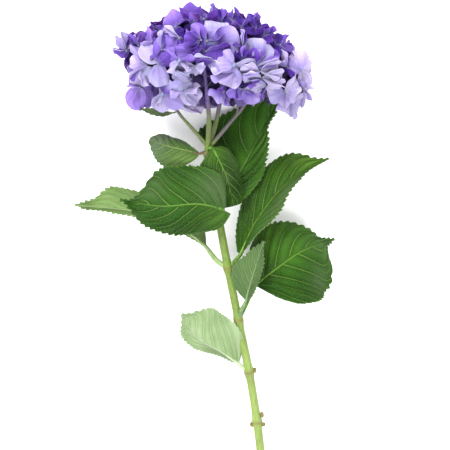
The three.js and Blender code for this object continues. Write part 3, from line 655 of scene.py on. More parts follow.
# Where along the midrib a blade's half widths are given
STATIONS = np.array([0, 0.06, 0.15, 0.3, 0.45, 0.6, 0.7, 0.78, 0.84, 0.92, 1])
# Each leaf's patches lay painted light (glow), painted shade (shade) and a painted sheen of reflected light
# (sheen) on its colour: kind, place along, place across, size along, size across and strength
LEAVES = [
    {
        "name": "leaf_top_left",
        "painted_sheen_tone": (98, 112, 98),
        "stalk": [NODES[0], [-1, 75.4, 59.5], [-4.5, 74.4, 60.5]],
        "stalk_radius": 1.3,
        "stalk_tones": [(112, 84, 66), (150, 128, 96)],
        "midrib": [[-4.5, 74.4, 60.5], [-19, 78, 64], [-34.9, 82, 59], [-49.7, 87.6, 43]],
        "faces": [[0, 0.35, 1], [0, 0.3, 1], [-0.5, 0.3, 1]],
        "left": [2, 7, 12, 18, 20, 19, 17, 14, 11.5, 7, 0],
        "right": [1, 3, 5, 10.5, 13, 14, 14, 13, 11.5, 8, 0],
        "fold": [-0.15, 0.1],
        "droop": [0.5, 0.7],
        "teeth": 15,
        "veins": 6,
        "greens": [(68, 104, 46), (106, 152, 68), (164, 198, 110)],
        "painted_light_patches": [
            ("sheen", 0.85, 0.2, 0.3, 1.0, 0.85),
            ("sheen", 0.5, 0.85, 0.4, 0.4, 0.6),
            ("glow", 0.2, -0.6, 0.25, 0.5, 1.0),
            ("glow", 0.42, -0.6, 0.2, 0.4, 0.35),
            ("shade", 0.45, 0.1, 0.25, 0.3, 0.4),
        ],
    },
    {
        "name": "leaf_front_heart",
        "stalk": [NODES[0], [5, 79.5, 61], [7.5, 79.6, 64]],
        "midrib": [[7.5, 79.6, 64], [13.3, 68.6, 64.5], [21, 50.8, 60], [26.6, 27.8, 50]],
        "faces": [[0, -0.1, 1], [0.05, -0.1, 1], [0.1, -0.3, 1]],
        "left": [1.7, 9.5, 13.5, 15.5, 15.5, 14, 13.6, 13, 12.2, 10.4, 7.5],
        "right": [1.7, 9, 19, 15, 10, 9, 9, 8.8, 8.6, 8, 7],
        "fold": [0.1, 0.1],
        "droop": [0.7, 0.5],
        "teeth": 15,
        "veins": 6,
        "greens": [(20, 56, 8), (46, 96, 18), (138, 196, 76)],
        "painted_light_patches": [
            ("glow", 0.04, 0.2, 0.22, 1.6, 1.0),
            ("glow", 0.3, -0.7, 0.2, 0.3, 0.5),
            ("shade", 0.68, -0.3, 0.26, 0.7, 0.78),
            ("shade", 0.42, -0.1, 0.2, 0.6, 0.55),
            ("sheen", 0.5, 0.2, 0.12, 0.4, 0.3),
        ],
        "roughness": 0.3,
    },
    {
        "name": "leaf_front_large",
        "stalk": [NODES[1], [15, 25.6, 54], [16.8, 24.6, 62]],
        "midrib": [[16.8, 24.6, 62], [-5.3, 29.4, 75], [-39, 27.6, 75], [-75.4, 33.2, 58]],
        "faces": [[0.2, 0, 1], [0, 0.05, 1], [-0.25, 0.1, 1]],
        "left": [0.9, 18, 24.5, 28, 27.8, 23.6, 20, 15.8, 10.4, 3.5, 0],
        "right": [0.9, 23.1, 31.3, 35, 36, 36.2, 31.5, 15.4, 6, 1, 0],
        "fold": [0.15, 0.15],
        "droop": [0.5, 0.35],
        "lobes": [9, 3],
        "teeth": 22,
        "veins": 6,
        "greens": [(21, 66, 1), (43, 108, 2), (146, 198, 84)],
        "painted_light_patches": [
            ("sheen", 0.1, 0.55, 0.17, 0.45, 0.55),
            ("glow", 0.5, 0.3, 0.3, 0.3, 0.3),
            ("glow", 0.04, -0.6, 0.16, 0.7, 1.0),
            ("shade", 0.35, -0.75, 0.4, 0.35, 0.4),
            ("shade", 0.3, 0.2, 0.12, 0.3, 0.3),
            ("sheen", 0.75, 0.5, 0.2, 0.4, 0.25),
        ],
    },
    {
        "name": "leaf_back_dark",
        "stalk": [NODES[1], [13.8, 27.5, 44], [16.5, 32, 40]],
        "midrib": [[16.5, 32, 40], [33.8, 61.9, 35], [51, 93.5, 19], [64.5, 118, 4.5], [70, 130, 3]],
        "faces": [[-0.1, 0.1, 1], [-0.1, 0.4, 1], [0, 0.1, 1]],
        "left": [0, 13, 20, 34, 54, 44, 36, 30, 25, 15, 0],
        "right": [4, 12.6, 17, 20, 15.5, 9.5, 3, 2.4, 3, 2.2, 0],
        "fold": [0.05, 0.2],
        "droop": [0.1, 0.3],
        "teeth": 24,
        "veins": 6,
        "greens": [(57, 122, 18), (94, 166, 34), (156, 206, 110)],
        "painted_light_patches": [
            ("shade", 0.46, -0.8, 0.24, 0.6, 1.0),
            ("shade", 0.22, 0.5, 0.26, 0.5, 1.0),
            ("shade", 0.9, 0.0, 0.16, 1.2, 0.6),
            ("glow", 0.57, 0.35, 0.16, 0.6, 0.75),
        ],
    },
    {
        "name": "leaf_left_pale",
        "stalk": [NODES[2], [10.7, -21, 36], [1.4, -9.1, 34]],
        "stalk_radius": 2.3,
        "midrib": [[1.4, -9.1, 34], [-22, 9, 36], [-62, 23, 30], [-119.6, 29.1, 10]],
        "faces": [[0.2, 0.3, -1], [0, 0.25, -1], [0, 0.2, -1]],
        "left": [0.9, 8.7, 16.6, 20, 19, 20.5, 21.3, 15.8, 8.5, 4.3, 0],
        "right": [0.9, 2.9, 5.5, 7.5, 7.5, 6.4, 5.9, 4.6, 4.6, 4.4, 0],
        "fold": [0.15, 0.7],
        "droop": [0.3, 0.3],
        "teeth": 26,
        "veins": 8,
        "greens": [(122, 164, 84), (158, 198, 116), (204, 228, 160)],
        "painted_light_patches": [("shade", 0.03, -0.75, 0.12, 0.6, 0.95)],
        "underside": True,
    },
    {
        "name": "leaf_right_bright",
        "stalk": [NODES[2], [27, -22.5, 39.5], [32.6, -15.8, 40]],
        "midrib": [[32.6, -15.8, 40], [47.4, 15.3, 43], [74.8, 48.6, 44], [113.1, 71.1, 34]],
        "faces": [[-0.35, 0.15, 1], [-0.35, 0.25, 1], [-0.2, 0.2, 1]],
        "left": [3.5, 8, 14, 23.5, 29.5, 31, 28.5, 24, 17, 6, 0],
        "right": [1, 5, 11, 18, 21, 14, 9, 4, 2.2, 1.2, 0],
        "fold": [0.05, 0.85],
        "droop": [0.35, 0.3],
        "teeth": 26,
        "veins": 7,
        "greens": [(24, 72, 1), (54, 122, 4), (170, 216, 92)],
        "painted_light_patches": [
            ("sheen", 0.62, 0.75, 0.35, 0.5, 0.45),
            ("shade", 0.3, -0.45, 0.2, 0.5, 0.45),
            ("glow", 0.75, -0.4, 0.2, 0.5, 0.3),
            ("glow", 0.87, -0.45, 0.13, 0.7, 1.0),
        ],
    },
    {
        "name": "leaf_lower_broad",
        "stalk": [NODES[3], [37.5, -62, 28.5], [46, -44, 29]],
        "midrib": [[46, -44, 29], [62, -31, 38], [88, -13, 38], [119, -1.8, 10]],
        "faces": [[0, 0, 1], [0, 0.05, 1], [0.3, 0.4, 1]],
        "left": [0, 17, 28, 36, 37.5, 31, 21, 12, 6, 3, 0],
        "right": [0, 14, 28, 42.5, 47, 43, 40, 29, 6, 3, 0],
        "fold": [0.1, 0.05],
        "droop": [0.35, 0.18],
        "teeth": 21,
        "veins": 6,
        "greens": [(24, 72, 1), (54, 118, 3), (134, 186, 70)],
        "painted_light_patches": [
            ("glow", 0.5, -0.2, 0.26, 0.45, 0.5),
            ("glow", 0.38, -0.85, 0.28, 0.36, 1.0),
            ("shade", 0.2, 0.0, 0.12, 0.5, 0.6),
            ("shade", 0.3, 0.7, 0.35, 0.45, 0.4),
            ("shade", 0.2, -0.7, 0.2, 0.3, 0.3),
            ("shade", 0.55, 0.85, 0.3, 0.3, 0.5),
            ("glow", 0.88, -0.1, 0.14, 1.0, 0.5),
            ("sheen", 0.86, 0.3, 0.1, 1.0, 0.4),
            ("sheen", 0.6, 0.75, 0.15, 0.3, 0.3),
        ],
    },
    {
        "name": "leaf_lower_grey",
        "stalk": [NODES[3], [33, -67, 35], [37.5, -57, 40]],
        "midrib": [[37.5, -57, 40], [42, -40, 47], [47, -24, 50], [53.5, -3.5, 48]],
        "faces": [[0.2, 0, -1], [0.25, 0, -1], [0.2, 0, -1]],
        "left": [0.9, 4, 5.5, 6.5, 7, 6.7, 5.5, 3.8, 2.4, 1.2, 0],
        "right": [0.9, 7.5, 13, 18, 19.5, 16.5, 12, 10, 8, 4, 0],
        "fold": [0.3, 0.2],
        "droop": [0.3, 0.3],
        "teeth": 16,
        "veins": 7,
        "greens": [(90, 126, 66), (118, 156, 92), (168, 196, 138)],
        "underside": True,
    },
    {
        "name": "leaf_bottom_folded",
        "stalk": [NODES[4], [36, -120, 22], [31, -115.5, 23]],
        "midrib": [[31, -115.5, 23], [14, -104, 27], [-6, -92, 25], [-21.5, -70.8, 9]],
        "faces": [[0, 0, -1], [0, 0.1, -1], [0.1, 0.15, -1]],
        "left": [0.9, 13.5, 21.9, 29.7, 32.7, 32.1, 29.7, 26.4, 21, 8.4, 0],
        "right": [0.9, 2, 3.5, 5.5, 9, 11.7, 12.5, 12.8, 11.5, 7, 0],
        "fold": [0.1, 0.6],
        "droop": [0.35, 0.2],
        "teeth": 22,
        "veins": 7,
        "greens": [(150, 194, 114), (206, 233, 178), (232, 245, 206)],
        "underside": True,
    },
    {
        "name": "bract",
        "stalk": [[-24, 111.5, 74.2], [-26, 110.5, 75], [-28.6, 110, 76]],
        "midrib": [[-28.6, 110, 76], [-37, 109.5, 79], [-47, 111.5, 79], [-56.9, 113.9, 75]],
        "faces": [[0, -0.4, 1], [0, -0.4, 1], [0, -0.4, 1]],
        "left": [0.9, 1.2, 2, 2.8, 3.1, 3, 2.6, 2.1, 1.6, 0.9, 0],
        "right": [0.9, 1.2, 2, 2.8, 3.1, 3, 2.6, 2.1, 1.6, 0.9, 0],
        "fold": [0.2, 0.2],
        "droop": [0.1, 0.1],
        "teeth": 6,
        "veins": 4,
        "greens": [(78, 100, 58), (112, 138, 88), (140, 160, 110)],
    },
]
# A tooth's outline: places along it and how far each stands out, as shares of its depth
TOOTH = [(0.0, -0.5), (0.2, -0.2), (0.42, 0.15), (0.62, 0.42), (0.78, 0.5), (0.9, 0.1)]
DEEPEST_TOOTH = 2.3
# How far apart the side veins are, as a share of the blade's length over their number
VEIN_PITCH = 0.72
# How many columns of points lie on each half of a blade, and of one as slim as a bract
COLUMNS, SLIM_COLUMNS = 22, 8
SLIM_WIDTH = 10
THICKEST_STALK = 1.9
STALK_RINGS, STALK_SIDES = 60, 16
# The tones of the sides that the leaf table leaves out: dark, light and veins
UPPER_GREENS = [(52, 90, 28), (80, 120, 44), (140, 168, 100)]
LOWER_GREENS = [(110, 146, 84), (138, 170, 108), (170, 196, 138)]
UPPER_ROUGHNESS, LOWER_ROUGHNESS = 0.4, 0.62


def through_stations(values, u):
    """A smooth line through one value for each station that never swings past them."""
    values = np.asarray(values, float)
    rises = np.diff(values) / np.diff(STATIONS)
    before = np.concatenate([rises[:1], rises])
    after = np.concatenate([rises, rises[-1:]])
    calm = before * after > 0
    slopes = np.where(calm, 2 * before * after / np.where(calm, before + after, 1), 0)
    span = np.clip(np.searchsorted(STATIONS, u, side="right"), 1, len(STATIONS) - 1)
    width = STATIONS[span] - STATIONS[span - 1]
    t = (u - STATIONS[span - 1]) / width
    rise = values[span] - values[span - 1]
    first = slopes[span - 1] * width
    last = slopes[span] * width
    return values[span - 1] + t * (first + t * (3 * rise - 2 * first - last + t * (first + last - 2 * rise)))


def widest_halves(leaf):
    return [max(leaf["left"]), max(leaf["right"])]


def by_side(s, pair):
    """The first of a pair where s lies left of the midrib, and the second right of it."""
    return np.where(s < 0, pair[0], pair[1])


def tooth_rows(teeth, width):
    """Places along a toothed edge and how far the edge stands out there, in millimetres."""
    depth = min(DEEPEST_TOOTH, 0.06 * width + 0.55)
    places, outs = [0.004], [0.0]
    for k in range(teeth):
        size = 0.6 + 0.4 * math.sin(k * 2.4) ** 2
        for part, height in TOOTH:
            u = (k + part) / teeth
            if u > places[-1]:
                places.append(u)
                outs.append(depth * height * smoothstep(u, 0.02, 0.1) * size)
    return np.array([*places, 0.997]), np.array([*outs, 0.0])


def vein_order(u, edge, veins):
    """Which side vein passes nearest: whole numbers lie on a vein. The veins lean to the tip."""
    start = u - 0.44 * edge**1.1
    start = np.where(start < 0, 0.5 * start, start)
    return veins * np.sign(start) * np.abs(start) ** 0.85 + 0.15


def blade_axes(leaf, line, u):
    """The directions along the midrib, to the right of it and up from the blade at every u."""
    along = line.direction(u)
    faces = unit(leaf["faces"])
    way = 2 * u[:, None]
    early = faces[0] + (faces[1] - faces[0]) * way
    late = faces[1] + (faces[2] - faces[1]) * (way - 1)
    up = np.where(way < 1, early, late)
    up = unit(up - along * np.sum(up * along, axis=-1, keepdims=True))
    return along, np.cross(along, up), up


def blade_points(leaf, u, s, bulge):
    """A grid of u by s on the blade's middle surface, the way out to each point, and the length."""
    line = Line(leaf["midrib"])
    along, right, up = (axis[:, None] for axis in blade_axes(leaf, line, u))
    widest = widest_halves(leaf)
    halves = [through_stations(leaf[side], u)[:, None] for side in ("left", "right")]
    places, outs = tooth_rows(leaf["teeth"], max(widest))
    stand = np.interp(u, places, outs)[:, None] * smoothstep(np.abs(s), 0.82, 1)
    away = np.abs(s) * np.maximum(by_side(s, halves), SLIMMEST_HALF) + stand
    angle = by_side(s, leaf["fold"]) - by_side(s, leaf["droop"]) * away / by_side(s, widest)
    lobe = by_side(s, leaf.get("lobes", [0, 0])) * np.abs(s)
    lobe = lobe * (1 - smoothstep(u, 0, LOBE_END))[:, None]
    flat = right * (np.sign(s) * away * np.cos(angle))[..., None]
    lift = up * (away * np.sin(angle) + bulge)[..., None]
    forward = along * (0.8 * stand - lobe)[..., None]
    return line.point(u)[:, None] + flat + lift + forward, away, line.length


def blade_relief(leaf, u, s, order, seed):
    """How far each point bulges: quilted between veins, waved at the edge, grooved in the middle."""
    edge = np.abs(s)
    size = min(max(widest_halves(leaf)), 40) / 32
    pillow = np.sin(math.pi * order) ** 2
    quilt = 1.4 * size * (pillow - 0.4) * smoothstep(edge, 0.02, 0.25) * (1 - 0.75 * edge**3)
    draw = random.Random(seed)
    turns = draw.uniform(2.2, 3.2)
    phase = draw.uniform(0, 6)
    ruffle = 1.2 * size * edge**3 * np.sin(2 * math.pi * turns * u + phase + by_side(s, (2.1, 0)))
    groove = -0.5 * np.exp(-((edge * 14) ** 2))
    return (quilt + ruffle + groove) * smoothstep(u, 0.0, 0.08) * smoothstep(u, 1.0, 0.9)


def painted_light_layers(leaf, u, s):
    """How strongly each point gets painted light (glow), painted shade (shade) and a painted sheen of
    reflected light (sheen).
    """
    layers = {kind: np.zeros(np.broadcast(u, s).shape) for kind in ("glow", "shade", "sheen")}
    for kind, place, side, long, wide, amount in leaf.get("painted_light_patches", []):
        away = ((u - place) / long) ** 2 + ((s - side) / wide) ** 2
        layers[kind] = np.maximum(layers[kind], amount * np.exp(-away))
    return layers.values()


def normals(grid):
    along = np.gradient(grid, axis=0)
    across = np.gradient(grid, axis=1)
    return unit(np.cross(across, along) + 1e-9)


def sheet_faces(rows, across):
    """Both sides and the rim of a sheet, whose upper points come first, with their materials."""
    size = rows * across
    faces, finish = [], []
    for row in range(rows - 1):
        for a in range(row * across, (row + 1) * across - 1):
            b = a + size
            faces.append((a, a + 1, a + across + 1, a + across))
            faces.append((b, b + across, b + across + 1, b + 1))
            finish += [0, 1]
    border = [*range(across), *range(2 * across - 1, size, across)]
    border += [*range(size - 2, size - across - 1, -1), *range(size - 2 * across, 0, -across)]
    for first, second in zip(border, border[1:] + border[:1]):
        faces.append((first, size + first, size + second, second))
        finish.append(1)
    return faces, finish


def both_sides(*layers):
    """Three values for every point of a sheet's upper side, and again for its lower side."""
    values = np.stack(np.broadcast_arrays(*layers), axis=-1).reshape(-1, 3)
    return np.concatenate([values, values])


def add_blade(leaf, piece, seed):
    """The blade with both its sides and its toothed rim. Gives the points along its midrib."""
    width = max(widest_halves(leaf))
    places, _ = tooth_rows(leaf["teeth"], width)
    columns = COLUMNS if width > SLIM_WIDTH else SLIM_COLUMNS
    part = np.linspace(0, 1, columns + 1) ** 0.92
    s = np.concatenate([-part[:0:-1], part])
    u = places[:, None]
    order = vein_order(u, np.abs(s), leaf["veins"]) + by_side(s, (0.0, 0.45))
    bulge = blade_relief(leaf, u, s, order, seed)
    middle, away, length = blade_points(leaf, places, s, bulge)
    stand = normals(middle) * BLADE_THICKNESS / 2
    piece.add(
        np.stack([middle + stand, middle - stand]),
        *sheet_faces(places.size, s.size),
        blade=both_sides(np.sign(s) * away, u * length, u),
        vein=both_sides(order, VEIN_PITCH * length / leaf["veins"], np.abs(s)),
        patch=both_sides(*painted_light_layers(leaf, u, s)),
    )
    return middle[:, columns]


def add_stalk(leaf, piece, midrib):
    """The stalk, which runs on under the midrib and thins out there."""
    thick = leaf.get("stalk_radius", min(THICKEST_STALK, max(widest_halves(leaf)) / 5))
    sunk = [midrib[int(share * len(midrib))] for share in (0.05, 0.12, 0.3)]
    line = Line([*leaf["stalk"], *sunk])
    shares = np.linspace(0, 1, STALK_RINGS)
    radii = thick * (1 - 0.45 * smoothstep(shares, 0.2, 0.6))
    radii = radii * (1 - 0.75 * smoothstep(shares, 0.55, 1.0))
    points, faces = tube(line, shares, radii, STALK_SIDES, 0.04)
    piece.add(points, faces, 2)


def leaf_finishes(leaf):
    """The materials of a leaf's upper side, its underside and its stalk."""
    name = leaf["name"]
    greens = [UPPER_GREENS, leaf["greens"]] if leaf.get("underside") else [leaf["greens"], LOWER_GREENS]
    upper, lower = ([srgb(*tone) for tone in tones] for tones in greens)
    stalk = [srgb(*tone) for tone in leaf.get("stalk_tones", leaf["greens"][1:])]
    roughness = leaf.get("roughness", UPPER_ROUGHNESS)
    painted_sheen_tone = leaf.get("painted_sheen_tone", PAINTED_SHEEN_TONE)
    return [
        leaf_material(name + "_upper", upper, False, roughness, painted_sheen_tone),
        leaf_material(name + "_lower", lower, True, LOWER_ROUGHNESS),
        streaked_material(name + "_stalk", 0.2, (900, 120, 900), stalk, 0.0004),
    ]


def add_leaf(number, leaf):
    slot = "leaf_underside" if leaf.get("underside") else "leaf"
    piece = Piece(leaf["name"] + "_fine", leaf_finishes(leaf), slot)
    midrib = add_blade(leaf, piece, number)
    add_stalk(leaf, piece, midrib)
    piece.make(leaf["name"])


# Flower head

HEAD_AT = np.array([10.5, 148, 65])
HALF_WIDTH = 82
FRONT, BACK = 68, 60
ABOVE, BELOW = 53, 33
RIGHT_SHOULDER, LEFT_SHOULDER = 0.18, -0.04
LEFT_BULGE = 0.07
LAST_ANGLE = math.radians(142)
SLICES = 240
NOD = math.radians(-3)
LEAN = math.radians(-4.5)
FLORET_COUNT = 82
GOLDEN_ANGLE = math.pi * (3 - math.sqrt(5))
TINTS = {
    "deep": (82, 53, 158),
    # Painted shade: sepals and florets where shadow falls between florets, and the darkening of the deeper
    # layer
    "dark": (42, 26, 92),
    "violet": (126, 91, 206),
    "bright": (168, 136, 248),
    "lilac": (195, 178, 256),
    "vivid": (184, 150, 257),
    "pale": (213, 203, 258),
    # The palest lilac, which also paints light on sepals that turn away from the lamps
    "light": (225, 213, 264),
    "grey": (195, 190, 243),
}


def head_matrix():
    nod_cos, nod_sin = math.cos(NOD), math.sin(NOD)
    lean_cos, lean_sin = math.cos(LEAN), math.sin(LEAN)
    nod = np.array([[1, 0, 0], [0, nod_cos, -nod_sin], [0, nod_sin, nod_cos]])
    lean = np.array([[lean_cos, -lean_sin, 0], [lean_sin, lean_cos, 0], [0, 0, 1]])
    return lean @ nod


HEAD_TURN = head_matrix()


def dome_round(height):
    power = 2 if height > 0 else 3
    return max(1 - abs(height) ** power, 0) ** (1 / power)


def dome_point(angle, turn, scale):
    """A point of the dome, by its angle from the top and its turn from the right."""
    height = math.cos(angle)
    side = math.cos(turn)
    shoulder = side * (RIGHT_SHOULDER if side > 0 else LEFT_SHOULDER)
    narrowing = 1 - shoulder * math.sin(2 * angle) if height > 0 else 1 + LEFT_BULGE * min(side, 0)
    reach = dome_round(height) * narrowing
    depth = FRONT if math.sin(turn) > 0 else BACK
    tall = ABOVE if height > 0 else BELOW
    return scale * np.array([HALF_WIDTH * reach * side, tall * height, depth * reach * math.sin(turn)])


def even_angles(count):
    """Angles from the top that share the dome's surface out evenly."""
    areas = [0.0]
    for i in range(1, SLICES + 1):
        low = dome_point((i - 1) / SLICES * LAST_ANGLE, 0, 1)
        high = dome_point(i / SLICES * LAST_ANGLE, 0, 1)
        areas.append(areas[-1] + (low[0] + high[0]) / 2 * np.linalg.norm(high - low))
    wanted = (np.arange(count) + 0.5) / count * areas[-1]
    return np.searchsorted(areas, wanted) / SLICES * LAST_ANGLE


PICTURE_MIDDLE = PICTURE_SIDE / 2


def pixel_at(height):
    """How many millimetres a pixel of the picture spans at that height."""
    return MM_PER_PIXEL * (CAMERA_AT[2] - height) / (CAMERA_AT[2] - FOCUS_HEIGHT)


def scene_point(px, py, height):
    """The point at that height that the camera sees at a place in the picture."""
    x = CAMERA_AT[0] + (px - PICTURE_MIDDLE) * pixel_at(height)
    y = CAMERA_AT[1] - (py - PICTURE_MIDDLE) * pixel_at(height)
    return np.array([x, y, height]) - PLACE


def picture_point(point):
    """Where the camera sees a point of the head, in picture pixels."""
    x, y, height = np.asarray(point, float) + PLACE
    across = (x - CAMERA_AT[0]) / pixel_at(height)
    down = (y - CAMERA_AT[1]) / pixel_at(height)
    return np.array([PICTURE_MIDDLE + across, PICTURE_MIDDLE - down])


# The head's outline as the camera sees it, clockwise, and the middle from which it is measured
OUTLINE_MIDDLE = np.array([213, 62])
HEAD_OUTLINE = np.array(
    [
        (120, 60), (118, 45), (126, 36), (140, 33), (152, 28), (163, 24), (172, 16), (186, 10),
        (203, 13), (220, 13), (240, 18), (254, 21), (262, 30), (272, 38), (286, 43), (300, 52),
        (307, 62), (309, 80), (305, 98), (294, 110), (280, 106), (262, 102), (240, 101), (215, 100),
        (196, 106), (180, 106), (160, 104), (145, 106), (131, 104), (131, 92), (134, 82), (130, 70),
    ]
)


def beyond_outline(point):
    """How many pixels outside the head's outline a point appears, and the way back inside."""
    away = picture_point(point) - OUTLINE_MIDDLE
    rim = HEAD_OUTLINE - OUTLINE_MIDDLE
    angles = np.arctan2(rim[:, 1], rim[:, 0])
    order = np.argsort(angles)
    reach = np.hypot(rim[:, 0], rim[:, 1])[order]
    limit = np.interp(math.atan2(away[1], away[0]), angles[order], reach, period=2 * math.pi)
    back = -unit(np.array([away[0], -away[1], 0.0]))
    return np.linalg.norm(away) - limit, back


def drawn_in(at, facing, spin, radius):
    """A floret's middle, moved in so that its sepals stay inside the head's outline."""
    first, second = floret_axes(facing)
    for _ in range(3):
        angles = [spin + k * math.pi / 2 for k in range(4)]
        tips = [at + radius * (math.cos(angle) * first + math.sin(angle) * second) for angle in angles]
        excess, back = max(map(beyond_outline, tips), key=lambda pair: pair[0])
        if excess > 0:
            at = at + back * excess * MM_PER_PIXEL
    return at


def on_dome(px, py, lift):
    """The point of the head's outer surface that the camera sees there, raised by lift."""
    height = HEAD_AT[2] + 40
    for _ in range(4):
        local = HEAD_TURN.T @ (scene_point(px, py, height) - HEAD_AT)
        share = local[1] / (ABOVE if local[1] > 0 else BELOW)
        inside = dome_round(min(max(share, -1), 1)) ** 2 - (local[0] / HALF_WIDTH) ** 2
        height = HEAD_AT[2] + FRONT * math.sqrt(max(inside, 0.0))
    return scene_point(px, py, height + lift)


# Sepals and florets

SEPAL_THICKNESS = 0.4
# The form of a sepal that is pressed flat
FLAT_LOOK = {
    "bend": 0, "cup": 0, "twist": 0, "painted_side_light": 0, "ruffle": 0, "waves": 3, "pleat": 0, "pleats": 5,
}
BEAD_ROWS, BEAD_SIDES = 6, 12
BEAD_RADIUS = 1.15
BEAD_RISE = 0.6
BEAD_GUIDE = [0.3, 0.9, 0.2]
PEDICEL_RADIUS = 0.62
# How far from a floret's middle its sepals start, and how far two of them lie over the others
FOOT_REACH = 0.8
OVERLAP = 0.45
SEEN_OVERLAP = 0.5
WAVE_COUNTS = [3, 4, 5]


def sepal_outline(draw, around):
    """The turn of each point of a sepal's edge, and its place along and across the sepal."""
    angles = np.arange(around) * 2 * math.pi / around
    uneven = 1 + 0.035 * np.sin(3 * angles + draw.uniform(0, 6))
    uneven += 0.02 * np.sin(5 * angles + draw.uniform(0, 6))
    broad = 0.06 + 0.2 * draw.random()
    beside = np.sign(np.sin(angles)) * np.abs(np.sin(angles)) ** draw.uniform(0.68, 0.98)
    along = 0.5 * np.cos(angles) * uneven
    across = 0.5 * beside * (1 + broad * np.cos(angles)) * uneven
    along += draw.uniform(-0.02, 0.03) * np.maximum(np.cos(angles), 0) ** 10
    return angles, along, across


def sepal_grid(draw, rings, around):
    """Points along and across a sepal, with the ring that each lies on and its turn in it."""
    angles, along, across = sepal_outline(draw, around)
    reach = (np.arange(1, rings + 1) / rings) ** 0.85
    x = np.concatenate([[0.5], (0.5 + np.outer(reach, along)).ravel()])
    y = np.concatenate([[0.0], np.outer(reach, across).ravel()])
    ring = np.concatenate([[0.0], np.repeat(reach, around)])
    turn = np.concatenate([[0.0], np.tile(angles, rings)])
    return x, y, ring, turn


def sepal_relief(look, grid, pleats, phase):
    """How far each point stands off the flat: bent, cupped, twisted, ruffled and pleated."""
    x, y, ring, turn = grid
    ruffle = look["ruffle"] * ring**2.5 * np.sin(look["waves"] * turn + phase)
    ruffle += 0.15 * look["ruffle"] * ring**5 * np.sin((2 * look["waves"] + 1) * turn - phase)
    groove = -0.45 * np.exp(-((y * 9) ** 2)) * ring
    bend = look["bend"] * (x * x - 0.25 * x)
    cup = look["cup"] * (2 * y) ** 2
    twist = look["twist"] * x * y
    return bend + cup + twist + (ruffle + groove + look["pleat"] * pleats) * np.minimum(x * 3, 1)


def sepal_tint(look, x, y, pleats):
    """Each point's tint: from the foot's to the tip's and lighter towards the tip, with painted light on one
    side and painted light and shade across the pleats.
    """
    tone = 1 + 0.36 * (x - 0.45) + look["painted_side_light"] * 2 * y + 0.16 * look["pleat"] * pleats
    foot = np.array(look["tint"])
    tip = np.array(look.get("tip_tint", look["tint"]))
    return tone[:, None] * (foot + (tip - foot) * smoothstep(x, 0.1, 0.95)[:, None])


def disc_faces(rings, around):
    """Both sides and the rim of a disc of rings round a middle point."""
    size = 1 + rings * around
    rim = size - around
    faces = []
    for k in range(around):
        after = (k + 1) % around
        faces.append((0, 1 + k, 1 + after))
        faces.append((size, size + 1 + after, size + 1 + k))
        for low in range(1, rim, around):
            high = low + around
            faces.append((low + k, high + k, high + after, low + after))
            faces.append((size + low + k, size + low + after, size + high + after, size + high + k))
        faces.append((rim + k, size + rim + k, size + rim + after, rim + after))
    return faces


def sepal(piece, foot, tip, side, width, look, draw, fineness):
    """One broad waved sepal from foot to tip. look holds its form and tint, fineness its rings."""
    length = np.linalg.norm(tip - foot)
    axis = (tip - foot) / length
    side = unit(side - axis * (side @ axis))
    normal = np.cross(axis, side)
    grid = sepal_grid(draw, *fineness)
    x, y, ring, _ = grid
    phase = draw.uniform(0, 6)
    fan = y / np.maximum(np.sqrt(np.maximum(x, 0)) * 0.6, 0.05)
    pleats = np.sin(look["pleats"] * fan + phase) * ring
    height = sepal_relief(look, grid, pleats, phase)
    middle = foot + np.outer(x * length, axis) + np.outer(y * width, side) + np.outer(height, normal)
    stand = normal * SEPAL_THICKNESS / 2
    piece.add(
        np.concatenate([middle + stand, middle - stand]),
        disc_faces(*fineness),
        sepal=both_sides(x, fan, ring),
        tint=np.tile(sepal_tint(look, x, y, pleats), (2, 1)),
    )


def bead(piece, at, facing, radius):
    """The small closed bud in a floret's middle."""
    side = unit(np.cross(facing, BEAD_GUIDE))
    points, faces = lobed_ball(BEAD_ROWS, BEAD_SIDES, 4, 0.14)
    raised = points + [0, BEAD_RISE, 0]
    piece.add(at + radius * raised @ np.array([side, facing, np.cross(facing, side)]), faces, 1)


# Where each ray ends, and the ends of the branchlets that grow from there
HUBS = [
    ([-33, 130, 84], [[-30, 148, 100], [-50, 142, 92]]),
    ([0, 152, 110], [[-8, 160, 116], [12, 158, 114]]),
    ([18, 142, 66], [[10, 168, 66], [16, 160, 92], [14, 150, 38], [-16, 152, 40], [44, 150, 38]]),
    ([46, 135, 80], [[58, 138, 96], [66, 140, 72], [44, 154, 96]]),
    ([-42, 136, 70], [[-54, 140, 62], [-36, 158, 66], [-40, 140, 44]]),
    ([27, 138, 88], [[32, 146, 108], [40, 164, 70]]),
]


def add_branchlets(piece):
    for root, ends in HUBS:
        for end in np.array(ends, float):
            bow = (root + end) / 2 + [0, -2, 1.5]
            line = Line([root, bow, end], 12)
            shares = np.linspace(0, 1, 12)
            piece.add(*tube(line, shares, 1.15 - 0.35 * shares, 8))


def add_pedicel(piece, at, facing):
    """A thread from the nearest branchlet to a floret, which it reaches from behind."""
    ends = np.array([end for _, group in HUBS for end in group], float)
    near = ends[np.argmin(np.linalg.norm(ends - at, axis=1))]
    bend = at - facing * min(8, 0.35 * np.linalg.norm(near - at))
    line = Line([near, near * 0.5 + bend * 0.5, bend, at], 10)
    shares = np.linspace(0, 1, 10)
    piece.add(*tube(line, shares, PEDICEL_RADIUS * (1 + 0.5 * shares**6), 6))


def varied(tint, draw, amount):
    """A tint, or the one of that name, a little lighter or darker and warmer or cooler."""
    red, green, blue = srgb(*TINTS[tint]) if isinstance(tint, str) else tint
    factor = 1 + draw.uniform(-amount, amount)
    warm = draw.uniform(-0.04, 0.04)
    return (red * factor * (1 + warm), green * factor, blue * factor)


